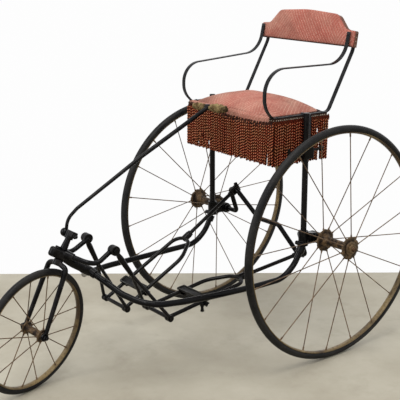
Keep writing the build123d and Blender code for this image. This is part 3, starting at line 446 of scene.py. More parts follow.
def twistedCord():
    # rust-red yarn with painted shade and a painted highlight: shade runs from 0 in the groove between the plies
    # to 1 on their crowns; the grooves are painted near black as shade, and the crowns get a pale painted
    # highlight
    mat = Finish("twistedCord", (0.2, 0.06, 0.03), 0.85, specular=0.06)
    ply = mat.attribute("shade")
    fleck = mat.noise(900, 3, 0.7)
    drift = mat.clouds(30, 5, 0.6, 0.38, 0.62)
    body = mat.mix(drift, (0.285, 0.032, 0.012), (0.245, 0.062, 0.021))
    # lit is the painted highlight on the ply crowns; the near-black groove colour below is painted shade
    lit = mat.mix(mat.range(fleck, 0.38, 0.66), (0.46, 0.155, 0.065), (0.86, 0.55, 0.34))
    tone = mat.mix(mat.range(ply, 0.40, 0.78), (0.006, 0.0016, 0.0010), body)
    mat.color(mat.mix(mat.times(mat.range(ply, 0.84, 0.97), 0.85), tone, lit))
    mat.bump(fleck, 0.3, 0.0005)
    return mat.material


def braid():
    mat = Finish("braid", (0.05, 0.02, 0.015), 0.85, specular=0.1)
    fleck = mat.noise(520, 4, 0.7)
    drift = mat.clouds(60, 5, 0.65, 0.4, 0.66)
    tone = mat.mix(drift, (0.014, 0.005, 0.004), (0.060, 0.020, 0.012))
    mat.color(mat.mix(mat.range(fleck, 0.62, 0.75), tone, (0.16, 0.07, 0.045)))
    mat.bump(fleck, 0.5, 0.0008)
    return mat.material


def nailHead():
    mat = Finish("nailHead", (0.10, 0.075, 0.055), 0.5, metallic=0.3, specular=0.2)
    tarnish = mat.clouds(300, 4, 0.6, 0.4, 0.65)
    mat.color(mat.mix(tarnish, (0.10, 0.07, 0.05), (0.46, 0.38, 0.30)))
    return mat.material


def gripWrap():
    # worn woven cover: olive tan, soiled brown in patches, with a furry surface
    mat = Finish("gripWrap", (0.22, 0.16, 0.07), 0.85, specular=0.1)
    yarn = mat.wave(330, mat.place, "DIAGONAL", 3.0)
    worn = mat.clouds(60, 8, 0.7, 0.40, 0.60)
    tan = mat.mix(worn, (0.090, 0.052, 0.022), (0.34, 0.255, 0.115))
    tan = mat.mix(mat.attribute("shade"), tan, (0.020, 0.011, 0.007))
    mat.color(mat.mix(mat.times(yarn, 0.35), tan, (0.045, 0.026, 0.012)))
    near = mat.bump(mat.noise(520, 5, 0.7), 0.8, 0.0014)
    mat.bump(yarn, 0.4, 0.0008, near)
    return mat.material


def darkBoard():
    mat = Finish("darkBoard", (0.09, 0.055, 0.035), 0.6, specular=0.15)
    grain = mat.noise(26, 8, 0.65, squash=(1, 0.12, 3))
    streak = mat.noise(180, 5, 0.6, squash=(1, 0.05, 2))
    tone = mat.mix(mat.range(grain, 0.35, 0.68), (0.020, 0.010, 0.007), (0.070, 0.036, 0.024))
    mat.color(mat.mix(mat.range(streak, 0.55, 0.75), tone, (0.022, 0.014, 0.010)))
    mat.roughness(mat.range(grain, 0.3, 0.7, 0.5, 0.72))
    mat.bump(streak, 0.25, 0.0006)
    return mat.material


def panelBack():
    mat = Finish("panelBack", (0.16, 0.115, 0.085), 0.8, specular=0.15)
    weave = mat.noise(420, 4, 0.7)
    tone = mat.mix(mat.clouds(14, 7, 0.66, 0.36, 0.66), (0.095, 0.040, 0.028), (0.240, 0.125, 0.088))
    mat.color(mat.mix(mat.range(weave, 0.5, 0.7), tone, (0.05, 0.022, 0.016)))
    mat.bump(weave, 0.4, 0.0006)
    return mat.material


enamel = blackEnamel("blackEnamel")
castEnamel = blackEnamel("castEnamel", wear=1.0, worn=(0.090, 0.080, 0.076))
forgedIron = blackEnamel("forgedIron", wear=0.7, base=(0.0042, 0.0037, 0.0036), worn=(0.055, 0.043, 0.035))
crankEnamel = blackEnamel("crankEnamel", bareBeyond=0.3815)
rubber, rimPaint, wire, hubMetal, strapMetal = agedRubber(), rimEnamel(), rustyWire(), hubRust(), strapIron()
seatCloth = pinkCloth("seatCloth")
backCloth = pinkCloth("backCloth", ground=(0.43, 0.120, 0.090), dusty=(0.46, 0.215, 0.160))
cordYarn, gimp, nails, wrap = twistedCord(), braid(), nailHead(), gripWrap()
board, boardBack = darkBoard(), panelBack()
print("finishes made")

# wheels

steer = joints["steering"]
steerPoint, steerAxis = np.array(steer["pos_m"]), unit(steer["axis"])
frontCentre, frontNormal = np.array(joints["front_wheel"]["pos_m"]), unit(joints["front_wheel"]["axis"])

# headStops are along a spoke from its flange; wireSwell is its radius there and at the nipple's four stops
rearWheel = dict(
    radius=355.6, section=11.0, steps=288, rimGap=0.1, rimWall=2.6, rimReach=40.0, spokes=10, wireRadius=1.5,
    nipple=11.0, headStops=(0, 1.6, 2.2, 6.5, 9.0), gap=102.0, flange=35.0, flangeWidth=5.0, barrel=12.5,
    boss=21.0, bossLength=3.5, bore=7.6, scallop=0.055,
    hubSteps=120, axleHeight=355.6, track=317.4, wireSwell=(1.9, 1.9, 1.8, 1.25, 1.0, 1.0, 1.65, 1.65, 1.65),
)
frontWheel = dict(rearWheel, radius=184.5, section=9.5, steps=192, spokes=8, nipple=8.0, gap=60.0,
                  flange=19.0, barrel=10.0, boss=12.0, bore=5.06, hubSteps=96)


def startAngle(normal, rolling, up):
    # the angle at which turned() starts, counted from the rolling direction
    side = unit(np.cross(normal, zAxis if abs(normal[2]) < 0.9 else xAxis))
    return -atan2(side @ up, side @ rolling)


def makeWheel(name, body, centre, normal, rolling, size, rows):
    node = body.removesuffix("_wheel")
    up = np.cross(rolling, normal)
    section, ring = size["section"] * mm, (size["radius"] - size["section"]) * mm
    turn = circle(size["steps"])
    radial = rolling * np.cos(turn)[:, None] + up * np.sin(turn)[:, None]

    def hoop(profile):
        # a closed profile of (out from the ring, along the axle) carried round the wheel
        grid = centre + radial[:, None] * (ring + profile[None, :, :1]) + normal * profile[None, :, 1:]
        return patch(grid, closeAlong=True)

    def wheelPiece(kind, patches, material):
        makePiece(name + kind, patches, material, body, [f"{node}_{kind.lower()}"])

    around = circle(24)
    tyreProfile = np.stack([section * np.cos(around), section * np.sin(around)], 1)
    wheelPiece("Tyre", [hoop(tyreProfile)], rubber)

    inside, outside = section + size["rimGap"] * mm, section + (size["rimGap"] + size["rimWall"]) * mm
    reach = radians(size["rimReach"])
    sweep = np.linspace(-reach, reach, 17)
    lip = np.linspace(0, pi, 5)[1:-1]
    middle, half = (inside + outside) / 2, (outside - inside) / 2
    outerArc = np.stack([-outside * np.cos(sweep), outside * np.sin(sweep)], 1)
    innerArc = np.stack([-inside * np.cos(sweep), inside * np.sin(sweep)], 1)[::-1]
    lips = []
    for end, sign in ((reach, 1), (-reach, -1)):
        centreOfLip = middle * np.array([-cos(end), sin(end)])
        outward = np.array([-cos(end), sin(end)])
        onward = sign * np.array([sin(end), cos(end)])
        a = lip if sign > 0 else lip[::-1]
        lips.append(centreOfLip + half * (np.cos(a)[:, None] * outward + np.sin(a)[:, None] * onward))
    wheelPiece("Rim", [hoop(np.vstack([outerArc, lips[0], innerArc, lips[1]]))], rimPaint)

    spokes, nip = [], size["nipple"] * mm
    radii = size["wireRadius"] * mm * np.array(size["wireSwell"])
    for side, first in rows:
        for k in range(size["spokes"]):
            a = radians(first + k * 360 / size["spokes"])
            out = rolling * cos(a) + up * sin(a)
            foot = centre + out * (size["flange"] - 1) * mm + normal * side * size["gap"] / 2 * mm
            tip = centre + out * (ring - outside + 1 * mm) + normal * side * 2 * mm
            length = np.linalg.norm(tip - foot)
            stops = np.array(size["headStops"]) * mm
            ends = np.array([length - nip, length - nip + 1 * mm, length - 1 * mm, length])
            stops = np.concatenate([stops, ends])[:, None]
            spokes.append(tube(foot + unit(tip - foot) * stops, radii, 8, 0.0))
    wheelPiece("Spokes", spokes, wire)

    # half the hub's profile: end face, boss, flange with eased edges, quarter ellipse down to the barrel
    gap, wide = size["gap"] / 2, size["flangeWidth"] / 2
    bore, barrel, flange, boss = size["bore"], size["barrel"], size["flange"], size["boss"]
    end = gap + wide + size["bossLength"]
    flare, outer, inner = flange - barrel, -gap - wide, -gap + wide
    profile = [(bore, -end), (boss - 1, -end), (boss, -end + 0.8), (boss, outer + 0.4), (boss + 1, outer),
               (flange - 1.6, outer), (flange, outer + 1.4), (flange, inner - 1.4), (flange - 1.6, inner)]
    for w in np.linspace(0, pi / 2, 6):
        profile.append((barrel + flare * 0.5 * (1 - sin(w)), inner + flare * 0.75 * (1 - cos(w))))
    profile.append((barrel * 1.03, 0))
    half = profile[:-1]
    profile = np.array(profile + [(r, -h) for r, h in half[::-1]]) * mm
    first = radians(rows[0][1])
    zero = startAngle(normal, rolling, up)

    def ripple(angle):
        # the flange's edge swells where each spoke goes in
        swell = 0.5 + 0.5 * np.cos(size["spokes"] * (angle - zero - first))
        onFlange = (profile[:, :1] > (flange - 3) * mm) * 1.0
        return 1 - onFlange * size["scallop"] * (1 - swell[None]) ** 0.8

    hub = turned(centre, normal, profile, size["hubSteps"], True, ripple)
    wheelPiece("Hub", [hub], hubMetal)


for side, name, body, rows in ((1, "rearLeft", "rear_left_wheel", ((1, 24.0), (-1, 4.5))),
                               (-1, "rearRight", "rear_right_wheel", ((-1, 30.0), (1, 11.5)))):
    centre = at(0, side * rearWheel["track"], rearWheel["axleHeight"])
    makeWheel(name, body, centre, yAxis, xAxis, rearWheel, rows)
ahead = unit(np.cross(frontNormal, steerAxis))
makeWheel("front", "front_wheel", frontCentre, frontNormal, ahead, frontWheel, ((1, 28.5), (-1, 8.0)))
print("wheels made")

# forged and cast pieces

# for each finish: the voxel that rounds the joins, in mm, how often the skin is smoothed, and the nodes
forgings = (
    (castEnamel, 1.0, 3, ("head_casting", "fork", "tiller_clamp", "bearing_left", "bearing_right")),
    (enamel, 1.1, 2, ("perch_tube_left", "perch_tube_right", "hanger_arm_left", "hanger_arm_right")),
    (crankEnamel, 1.1, 2, ("crankshaft",)),
    (forgedIron, 0.9, 2, ("treadle_rod_left", "treadle_rod_right", "treadle_yoke_left", "treadle_yoke_right",
                          "hanger_left", "hanger_right", "foot_plates", "post_clamps", "axle_collars")),
)
for material, voxel, passes, names in forgings:
    for name in names:
        node = nodes[name]
        dress(node, material)
        weld = node.modifiers.new("weld", "WELD")
        weld.merge_threshold = 1e-5
        skin = node.modifiers.new("skin", "REMESH")  # runs the joins of the forging into each other
        skin.mode = "VOXEL"
        skin.voxel_size = voxel * mm
        skin.use_smooth_shade = True
        soften = node.modifiers.new("soften", "SMOOTH")
        soften.factor = 0.5
        soften.iterations = passes
for name, material in (
    ("post_left", enamel), ("post_right", enamel), ("seat_legs", strapMetal), ("hub_nuts", hubMetal),
    ("front_axle", castEnamel), ("seat_board", board), ("back_board", boardBack),
):
    dress(nodes[name], material)
print("forgings finished")

# the far post's head stands a little over the seat, and a screw hangs under the near foot plate
postCap = dict(place=(49.5, -223.5, 740.0), profile=((9.4, 0), (9.4, 7.5), (8.4, 8.6), (0.5, 8.8)))
cap = turned(at(*postCap["place"]), zAxis, np.array(postCap["profile"]) * mm, 24, False)
makePiece("postHead", [cap], enamel)
screw = dict(root=(370, 140, 206), tip=(369, 140, 175), marks=(0, 0.16, 0.36, 0.5, 0.76, 0.84, 0.94, 1.0),
             radii=(9.0, 9.0, 7.0, 4.6, 4.6, 5.6, 6.0, 4.0))
root, tip = at(*screw["root"]), at(*screw["tip"])
shank = tube(root + (tip - root) * np.array(screw["marks"])[:, None], np.array(screw["radii"]) * mm, 14, 0.4)
makePiece("plateScrew", [shank], forgedIron)

# each foot plate carries a raised frame round a dark hollow
dusty = blackEnamel("dustyIron", wear=1.0, base=(0.020, 0.019, 0.015), worn=(0.085, 0.078, 0.064))
plateRim = dict(halfLength=60.0, halfWidth=11.6, bar=3.4, rise=3.2, deck=(20.0, 0.8), deckLift=0.4,
                plates=(((364.5, 87.5, 217.8), 9.2), ((459.2, -87.5, 216.5), 28.6)))
bar = flatSection(plateRim["bar"] * mm, plateRim["rise"] * mm, 0.3, 4)
deckSection = flatSection(plateRim["deck"][0] * mm, plateRim["deck"][1] * mm, 0.3, 4)


def crossBar(middle, reach, section, side):
    return carried(straight(middle - reach, middle + reach, 3), section, side)


frames, decks = [], []
for centre, tilt in plateRim["plates"]:
    normal = np.array([sin(radians(tilt)), 0, cos(radians(tilt))])
    level = np.array([normal[2], 0, -normal[0]])
    middle = at(*centre) + normal * plateRim["rise"] / 2 * mm
    lengthwise, crosswise = yAxis * plateRim["halfLength"] * mm, level * plateRim["halfWidth"] * mm
    for sign in (1, -1):
        frames.append(crossBar(middle + sign * crosswise, lengthwise, bar, level))
        frames.append(crossBar(middle + sign * lengthwise, crosswise, bar, yAxis))
    deck = at(*centre) + normal * plateRim["deckLift"] * mm
    decks.append(crossBar(deck, lengthwise - yAxis * mm, deckSection, level))
makePiece("plateFrames", frames, dusty)
makePiece("plateDecks", decks, rubber)

# tiller

tiller = dict(
    turn=4.5, offset=-21.5, bends=(45, 50, 700),
    rod=((58, 0), (90, 14), (128, -1), (335, -131.5), (571, -295)),
    footRadius=4.7, topRadius=6.6, ball=12.5, ballOffset=-27.0, boltHeight=55.0, bolt=(-31.0, -41.0),
    boltRadius=4.2, roll=4.5, handle=150.0, socketHalf=8.5, socket=10.0, barRadius=5.5, farEnd=16.0,
    nearEnd=2.0,
)
turn, fore = radians(tiller["turn"]), unit(np.cross(yAxis, steerAxis))
tillerFore = fore * cos(turn) + yAxis * sin(turn)
tillerSide = yAxis * cos(turn) - fore * sin(turn)


def tilted(fore, side, along):
    return steerPoint + (tillerFore * fore + tillerSide * side + steerAxis * along) * mm


rodCorners = [tilted(out, tiller["offset"], along) for along, out in tiller["rod"]]
rodPath = roundedPath(rodCorners, [r * mm for r in tiller["bends"]])
travel = np.append(0, np.cumsum(np.linalg.norm(np.diff(rodPath, axis=0), axis=1)))
swelling = (tiller["topRadius"] - tiller["footRadius"]) * np.clip(travel / travel[-1] * 1.5, 0, 1)
handleMiddle, half = rodPath[-1], tiller["handle"] / 2
roll = radians(tiller["roll"])
handleLine = tillerSide * cos(roll) + steerAxis * sin(roll)


def alongHandle(low, high):
    return straight(handleMiddle + handleLine * low * mm, handleMiddle + handleLine * high * mm, 3)


boltEnds = [tilted(0, side, tiller["boltHeight"]) for side in tiller["bolt"]]
tillerParts = [
    tube(rodPath, (tiller["footRadius"] + swelling) * mm, 20),
    ball(tilted(0, tiller["ballOffset"], tiller["boltHeight"]), tiller["ball"] * mm, 20),
    tube(alongHandle(-tiller["socketHalf"], tiller["socketHalf"]), tiller["socket"] * mm, 28, 0.35),
    tube(alongHandle(tiller["farEnd"] - half, half - tiller["nearEnd"]), tiller["barRadius"] * mm),
    tube(straight(*boltEnds, 3), tiller["boltRadius"] * mm, 12, 0.6),
]
makePiece("tillerRod", tillerParts, castEnamel, "tiller", ["tiller"])

grip = dict(start=8.8, lengths=((1, 72.0), (-1, 55.0)), thick=11.4, nearer=0.8, ends=8.0, lumps=0.075,
            rings=60, sides=40)
gripParts = []
for side, length in grip["lengths"]:
    # a spindle whose radius swells as sin(pi t^0.9)^0.6, with slow lumps along it and round it
    t = np.linspace(0, 1, grip["rings"])
    thick = grip["thick"] + side * grip["nearer"]
    radius = (grip["ends"] + (thick - grip["ends"]) * np.sin(pi * t ** 0.9) ** 0.6) * mm
    line = handleMiddle + side * handleLine * (grip["start"] + length * t)[:, None] * mm
    shell = tubeGrid(line, radius, grip["sides"], 0.35)
    axisLine = shell.mean(1, keepdims=True)
    u, w = np.meshgrid(np.linspace(0, 1, len(shell)), circle(grip["sides"]), indexing="ij")
    lump = np.sin(9 * u + 2 * w + side) + np.sin(23 * u - 3 * w)
    lump += 0.6 * np.sin(41 * u + 5 * w) + 0.5 * np.sin(67 * u - 7 * w)
    shell = axisLine + (shell - axisLine) * (1 + grip["lumps"] * lump)[..., None]
    # the near grip is soiled at its outer end, the far one at its inner end
    if side > 0:
        soiled = 0.85 * np.clip((u - 0.84 + 0.05 * lump) / 0.12, 0, 1)
    else:
        soiled = 0.7 * np.clip((0.12 - u) / 0.1, 0, 1)
    gripParts.append(patch(shell, capped=True, shade=soiled))
makePiece("grips", gripParts, wrap, "tiller", ["grips"])
print("tiller made")

# seat

seat = dict(front=156.0, rear=-60.0, halfWidth=204.0, boardTop=733.0, roll=-1.2)
cushionSize = dict(front=160.5, rear=-58.5, half=190.0, crown=48.5, rim=4.0, lift=0.4, shrink=3.0,
                   voxel=4.5, pressure=2.5, cap=5.0, frames=16)
seatMiddle, seatHalfDepth = (seat["front"] + seat["rear"]) / 2, (seat["front"] - seat["rear"]) / 2


def leanWithSeat(*pieces):
    # the seat sits with its left side low: every point turns by the roll about the line along the board's top
    turn, pivot = radians(seat["roll"]), seat["boardTop"] * mm
    c, s = cos(turn), sin(turn)
    for piece in pieces:
        x, y, z = pointsOf(piece.data).T
        rise = z - pivot
        leaned = np.stack([x, y * c - rise * s, pivot + y * s + rise * c], 1)
        piece.data.vertices.foreach_set("co", leaned.ravel())
        piece.data.update()


def superRing(count, power):
    # a rounded square of half size 1: the direction (cos w, sin w) divided by its power norm
    w = circle(count)
    x, y = np.cos(w), np.sin(w)
    norm = (np.abs(x) ** power + np.abs(y) ** power) ** (1 / power)
    return np.stack([x / norm, y / norm], 1)


def cushionGrid(size):
    # rings of a rounded square whose sides pull in between its corners: flat below, a short upright edge,
    # then a dome (1 - t^2.2)^1.05
    ring = superRing(120, 9.0)
    x, y = ring[:, :1], ring[:, 1:]
    pull = -0.020 * np.cos(pi * x / 2) * (np.abs(y) > 0.98)
    pull -= 0.03 * np.cos(pi * y / 2) * (np.abs(x) > 0.98)
    middle, rim = (size["front"] + size["rear"]) / 2, size["rim"]
    depth = ((size["front"] - size["rear"]) / 2 - size["shrink"]) * mm
    width = (size["half"] - size["shrink"]) * mm
    rows = [(t * 0.985, 0.0) for t in np.linspace(0.08, 1, 10)] + [(1.0, rim * 0.45), (0.995, rim)]
    for t in np.linspace(0.97, 0.04, 28):
        rows.append((t, rim + (size["crown"] - size["shrink"] - rim) * (1 - t ** 2.2) ** 1.05))
    grid = []
    for t, height in rows:
        flat = ring * (1 + pull * t) * t
        level = np.full(len(flat), (seat["boardTop"] + size["lift"] + height) * mm)
        grid.append(np.stack([axleX + middle * mm + flat[:, 0] * depth, flat[:, 1] * width, level], 1))
    return np.array(grid)


def swell(piece, size):
    # remesh, blow up a little as cloth with its foot held, and never let a point go further than the cap
    bpy.context.view_layer.objects.active = piece
    remesh = piece.modifiers.new("remesh", "REMESH")
    remesh.mode, remesh.voxel_size, remesh.use_smooth_shade = "VOXEL", size["voxel"] * mm, True
    graph = bpy.context.evaluated_depsgraph_get()
    mesh = bpy.data.meshes.new_from_object(piece.evaluated_get(graph), depsgraph=graph)
    piece.modifiers.clear()
    piece.data = mesh
    rest = pointsOf(mesh)
    foot = rest[:, 2].min()
    pinned = piece.vertex_groups.new(name="pinned")
    pinned.add([int(k) for k in np.where(rest[:, 2] < foot + 4 * mm)[0]], 1.0, "REPLACE")
    settings = piece.modifiers.new("cloth", "CLOTH").settings
    settings.use_pressure, settings.uniform_pressure_force = True, size["pressure"]
    settings.effector_weights.gravity = 0
    settings.vertex_group_mass = "pinned"
    settings.tension_stiffness = settings.compression_stiffness = 14
    settings.bending_stiffness = 0.6
    scene = bpy.context.scene
    for k in range(size["frames"]):
        scene.frame_set(k + 1)
    move = pointsOf(piece.evaluated_get(bpy.context.evaluated_depsgraph_get()).data) - rest
    piece.modifiers.clear()
    piece.vertex_groups.clear()
    scene.frame_set(1)
    move *= np.minimum(1, size["cap"] * mm / np.maximum(np.linalg.norm(move, axis=1, keepdims=True), 1e-9))
    placed = rest + np.nan_to_num(move)
    placed[:, 2] = np.maximum(placed[:, 2], foot)
    mesh.vertices.foreach_set("co", placed.ravel())
    mesh.update()


def layFlatUv(mesh, u, v, origin):
    # planar map in metres along u and v, kept in the mesh for the weave
    layer = mesh.uv_layers.new(name="UVMap")
    index = np.zeros(len(mesh.loops), np.int32)
    mesh.loops.foreach_get("vertex_index", index)
    co = pointsOf(mesh) - origin
    plane = np.stack([co @ u, co @ v], 1)
    layer.data.foreach_set("uv", plane[index].astype(np.float32).ravel())


def setShade(mesh, values):
    attribute = mesh.attributes.get("shade") or mesh.attributes.new("shade", "FLOAT", "POINT")
    attribute.data.foreach_set("value", values.astype(np.float32))


shell = patch(cushionGrid(cushionSize), capped=True)
cushion = makePiece("seatCushion", [shell], seatCloth, replaced=["seat_cushion"])
swell(cushion, cushionSize)
dress(cushion, seatCloth)
cushion.data.shade_smooth()
layFlatUv(cushion.data, yAxis, xAxis, at(seatMiddle, 0, 0))
# dirt lies along the edges, except in front, and round the front edge's far end
dirt = dict(edge=12.0, edgeShade=0.8, clean=16.0, spotAcross=-140.0, spotReach=45.0, spotShade=0.55)
ahead, across, _ = (pointsOf(cushion.data) - at(0, 0, 0)).T / mm
fromEdge = np.minimum(seatHalfDepth - np.abs(ahead - seatMiddle), cushionSize["half"] - np.abs(across))
nearEdge = np.clip(1 - fromEdge / dirt["edge"], 0, 1) ** 2 * dirt["edgeShade"]
nearEdge[ahead > seat["front"] - dirt["clean"]] = 0
fromSpot = ((ahead - seat["front"]) ** 2 + (across - dirt["spotAcross"]) ** 2) / dirt["spotReach"] ** 2
setShade(cushion.data, np.clip(nearEdge + np.exp(-fromSpot) * dirt["spotShade"], 0, 1))
leanWithSeat(cushion)
smoothing = cushion.modifiers.new("smoother", "SUBSURF")
smoothing.levels = smoothing.render_levels = 1
print("cushion made")

# the cloth hangs over the seat's front edge, down to a worn and wavering hem
apron = dict(top=739.0, back=157.5, face=162.6, thick=1.6, left=187.0, right=-199.0, stations=260, rows=16,
             hem=((-199, 731), (-120, 728), (-73, 726), (-20, 719), (15, 717), (84, 716.5), (138, 717.5),
                  (170, 720), (187, 724)))
lining = dict(short=14.0, stations=400, rows=8, above=3.0, below=10.0, set=0.4, thick=1.4)


def hemAt(y):
    return np.interp(y, *np.array(apron["hem"]).T)


def hangingSheet(name, forward, y, heights, thick, material, shade=None):
    # a thin closed sheet whose face is given by how far forward and how high each of its points is
    face = np.stack([axleX + forward * mm, np.repeat(y[:, None], heights.shape[1], 1) * mm, heights * mm], 2)
    both = np.concatenate([face, (face - xAxis * thick * mm)[:, ::-1]], 1)
    sheet = patch(both, capped=True, shade=shade)
    return makePiece(name, [sheet], material)


y = np.linspace(apron["right"], apron["left"], apron["stations"])
hemLine = hemAt(y) + 0.9 * np.sin(y * 0.31) + 0.7 * np.sin(y * 0.83 + 1) + 0.6 * np.sin(y * 1.9 + 2)
v = np.linspace(0, 1, apron["rows"])[None]
bow = np.sin(pi / 2 * np.clip(v / 0.45, 0, 1)) + 0.10 * np.sin(y * 0.11)[:, None] * v - 0.25 * v ** 6
hemShade = np.concatenate([np.repeat(v ** 10, len(y), 0), np.ones((len(y), apron["rows"]))], 1)
forward = apron["back"] + (apron["face"] - apron["back"]) * bow
heights = apron["top"] + (hemLine[:, None] - apron["top"]) * v
hanging = hangingSheet("seatApron", forward, y, heights, apron["thick"], seatCloth, hemShade)
layFlatUv(hanging.data, yAxis, xAxis - zAxis, at(seatMiddle, 0, apron["top"]))
y = np.linspace(apron["right"], apron["left"] + lining["short"], lining["stations"])
v = np.linspace(0, 1, lining["rows"])[None]
rags = 4.0 * np.abs(np.sin(y * 0.15) + np.sin(y * 0.43 + 1)) + 3 * np.sin(y * 1.3) ** 2
high, low = hemAt(y) + lining["above"], hemAt(y) - lining["below"] - rags
ripples = 0.9 * np.sin(y[:, None] * 0.47 + 5 * v) - 2.0 * v ** 3
forward, heights = apron["face"] - lining["set"] + ripples, high[:, None] + (low - high)[:, None] * v
torn = hangingSheet("tornLining", forward, y, heights, lining["thick"], gimp)
leanWithSeat(hanging, torn)

# a rope of gimp round the cushion's foot, and the band that carries the fringe
welt = dict(height=735.5, radius=2.6, turns=95, power=12.0, stations=520, inFront=4.5, inSide=2.5)


def ropeGrid(path, radius, turns, sides=8, depth=0.28, hand=1.0, spin=0.0):
    # two plies: section radius r (1 - depth + depth |cos(w - twist)|), where the twist grows along the path
    along = tangents(path)
    side = unit(np.cross(along, zAxis + 0.01 * xAxis))[:, None]
    other = np.cross(along, side[:, 0])[:, None]
    w = circle(sides)
    twist = hand * (turns * 2 * pi * np.linspace(0, 1, len(path))[:, None] + spin)
    crown = np.abs(np.cos(w[None] - twist))
    ring = side * np.cos(w)[None, :, None] + other * np.sin(w)[None, :, None]
    return path[:, None] + ring * (radius * (1 - depth + depth * crown))[..., None], crown


weltDepth, weltWidth = seatHalfDepth - welt["inFront"], cushionSize["half"] - welt["inSide"]
ringPath = np.array([
    at(seatMiddle + x * weltDepth, y * weltWidth, welt["height"])
    for x, y in superRing(welt["stations"], welt["power"])
])
grid, crown = ropeGrid(ringPath, welt["radius"] * mm, welt["turns"])
rope = patch(grid, closeAlong=True, shade=crown)
leanWithSeat(makePiece("cushionWelt", [rope], gimp))

fringe = dict(
    top=718.0, bottom=592.5, pitch=9.0, cordRadius=4.15, rings=112, sides=12, lay=17.2, creep=0.11,
    raggedness=4.0, reversed=0.22, depth=0.40, sway=0.9, lining=4.6, liningRadius=4.0, partWidth=14.0,
    flank=0.62, seed=7,
)
rng = np.random.default_rng(fringe["seed"])


def fringeRow(start, end, outward, parts):
    # hanging cords in two layers: outside, two-ply ones, some laid the other way, and inside a plain lining that
    # is painted dark as shade;
    # at each part (share of the row, height, half height, opening) the cords stand aside, with no lining
    run = np.linalg.norm(end - start)
    aside = unit(end - start)
    count = round(run / (fringe["pitch"] * mm))
    t = np.linspace(0, 1, fringe["rings"])
    thin = np.sqrt(np.clip((1 - t) / 0.025, 0.12, 1))
    cords = []
    for k in range(2 * count - 1):
        share = (k + 1) / (2 * count)
        outer = k % 2 == 0
        luck, swing, depthShift, ragged, phase = (
            rng.random(), rng.normal(), rng.normal(), rng.random(), rng.random())
        if not outer and any(abs(part[0] - share) * run < 0.6 * fringe["pitch"] * mm for part in parts):
            continue
        drop = (fringe["top"] - fringe["bottom"] - fringe["raggedness"] * ragged ** 2) * mm
        path = start + (end - start) * share - zAxis * drop * t[:, None]
        shift = swing * fringe["sway"] * t ** 2
        for place, height, spread, opening in parts:
            far = (share - place) * run / mm
            level = np.exp(-((fringe["top"] - drop / mm * t - height) / spread) ** 2)
            shift = shift + opening * np.sign(far) * level * exp(-(far / fringe["partWidth"]) ** 2)
        bulge = (0.3 + 0.5 * depthShift) * mm * np.sin(t * 2.6)[:, None]
        path = path + aside * (shift * mm)[:, None] + outward * bulge
        if outer:
            hand = -1.0 if luck < fringe["reversed"] else 1.0
            radius = (fringe["cordRadius"] * mm * thin)[:, None]
            turns = drop / mm / fringe["lay"]
            spin = pi * (fringe["creep"] * (k // 2) + 0.5 * phase ** 3)
            cord, crown = ropeGrid(path, radius, turns, fringe["sides"], fringe["depth"], hand, spin)
            # painted shade: each cord darkens towards its flanks, where it faces its neighbours, on top of the
            # painted groove shade and crown highlight carried by its crown value
            facing = np.abs((cord - path[:, None]) @ outward) / (fringe["cordRadius"] * mm)
            paintedCordShade = crown * np.clip(1 - fringe["flank"] + 1.1 * fringe["flank"] * facing, 0, 1)
            cords.append(patch(cord, capped=True, shade=paintedCordShade))
        else:
            inner = tubeGrid(path[::6] - outward * fringe["lining"] * mm, fringe["liningRadius"] * mm, 8)
            # the lining's constant shade of 0.50 paints it dark: painted shade in the gaps between the outer
            # cords
            cords.append(patch(inner, capped=True, shade=np.full(inner.shape[:2], 0.50)))
    return cords


# for each row: whether it runs sideways, from where to where, its place square to that, which way is out,
# and its openings as mm along the run, height, half height and how far the cords stand aside
sideRun = (158, seat["rear"] + 2)
fringeRows = {
    "fringeFront": (True, (-213, 207), seat["front"] + 2.4, xAxis, (
        (-154, 611, 16, 3.0), (-122, 634, 16, 2.8), (-101, 616, 9, 2.8), (180, 606, 22, 3.2),
        (196, 602, 24, 3.2))),
    "fringeLeft": (False, sideRun, seat["halfWidth"] + 2.2, yAxis, (
        (-17, 684, 8, 2.8), (-22, 607, 22, 3.4), (-45, 675, 9, 2.4))),
    "fringeRight": (False, sideRun, -seat["halfWidth"] - 4.5, -yAxis, (
        (118, 594, 20, 3.6), (94, 606, 20, 3.6), (78, 590, 14, 3.6))),
}
cordCount = 0
for name, (sideways, (first, last), beyond, outward, openings) in fringeRows.items():
    start, end = (at(*((beyond, p) if sideways else (p, beyond)), fringe["top"]) for p in (first, last))
    parts = [((spot - first) / (last - first), *rest) for spot, *rest in openings]
    cords = fringeRow(start, end, outward, parts)
    cordCount += len(cords)
    piece = makePiece(name, cords, cordYarn, turnOut=False)
    leanWithSeat(piece)
    if sideways:
        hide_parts("seat_fringe")
print("fringe made:", cordCount, "cords")

# heading band: a flat strip round three sides with a braid of slanting stitches, and nails above it
band = dict(low=712.0, high=727.5, thick=4.0, behind=4.5, stitch=6.5, stitchHeight=0.7, stations=640,
            corner=5.0, nailPitch=8.0, nailRadius=1.9, nailHeight=729.5, nailOut=1.6)
leftY, rightY, frontX = seat["halfWidth"] + 2.6, -seat["halfWidth"] - 5.0, seat["front"] + 3.0
rearX = seat["rear"]
bandCorners = [at(x, y, 0) for x, y in ((rearX, leftY), (frontX, leftY), (frontX, rightY), (rearX, rightY))]
bandPath = roundedPath(bandCorners, [band["corner"] * mm] * 2, 1.2 * mm)
dense = np.append(0, np.cumsum(np.linalg.norm(np.diff(bandPath, axis=0), axis=1)))
stations = np.linspace(0, dense[-1], band["stations"])


def alongPath(places, distances, values):
    return np.stack([np.interp(places, distances, values[:, k]) for k in range(3)], 1)


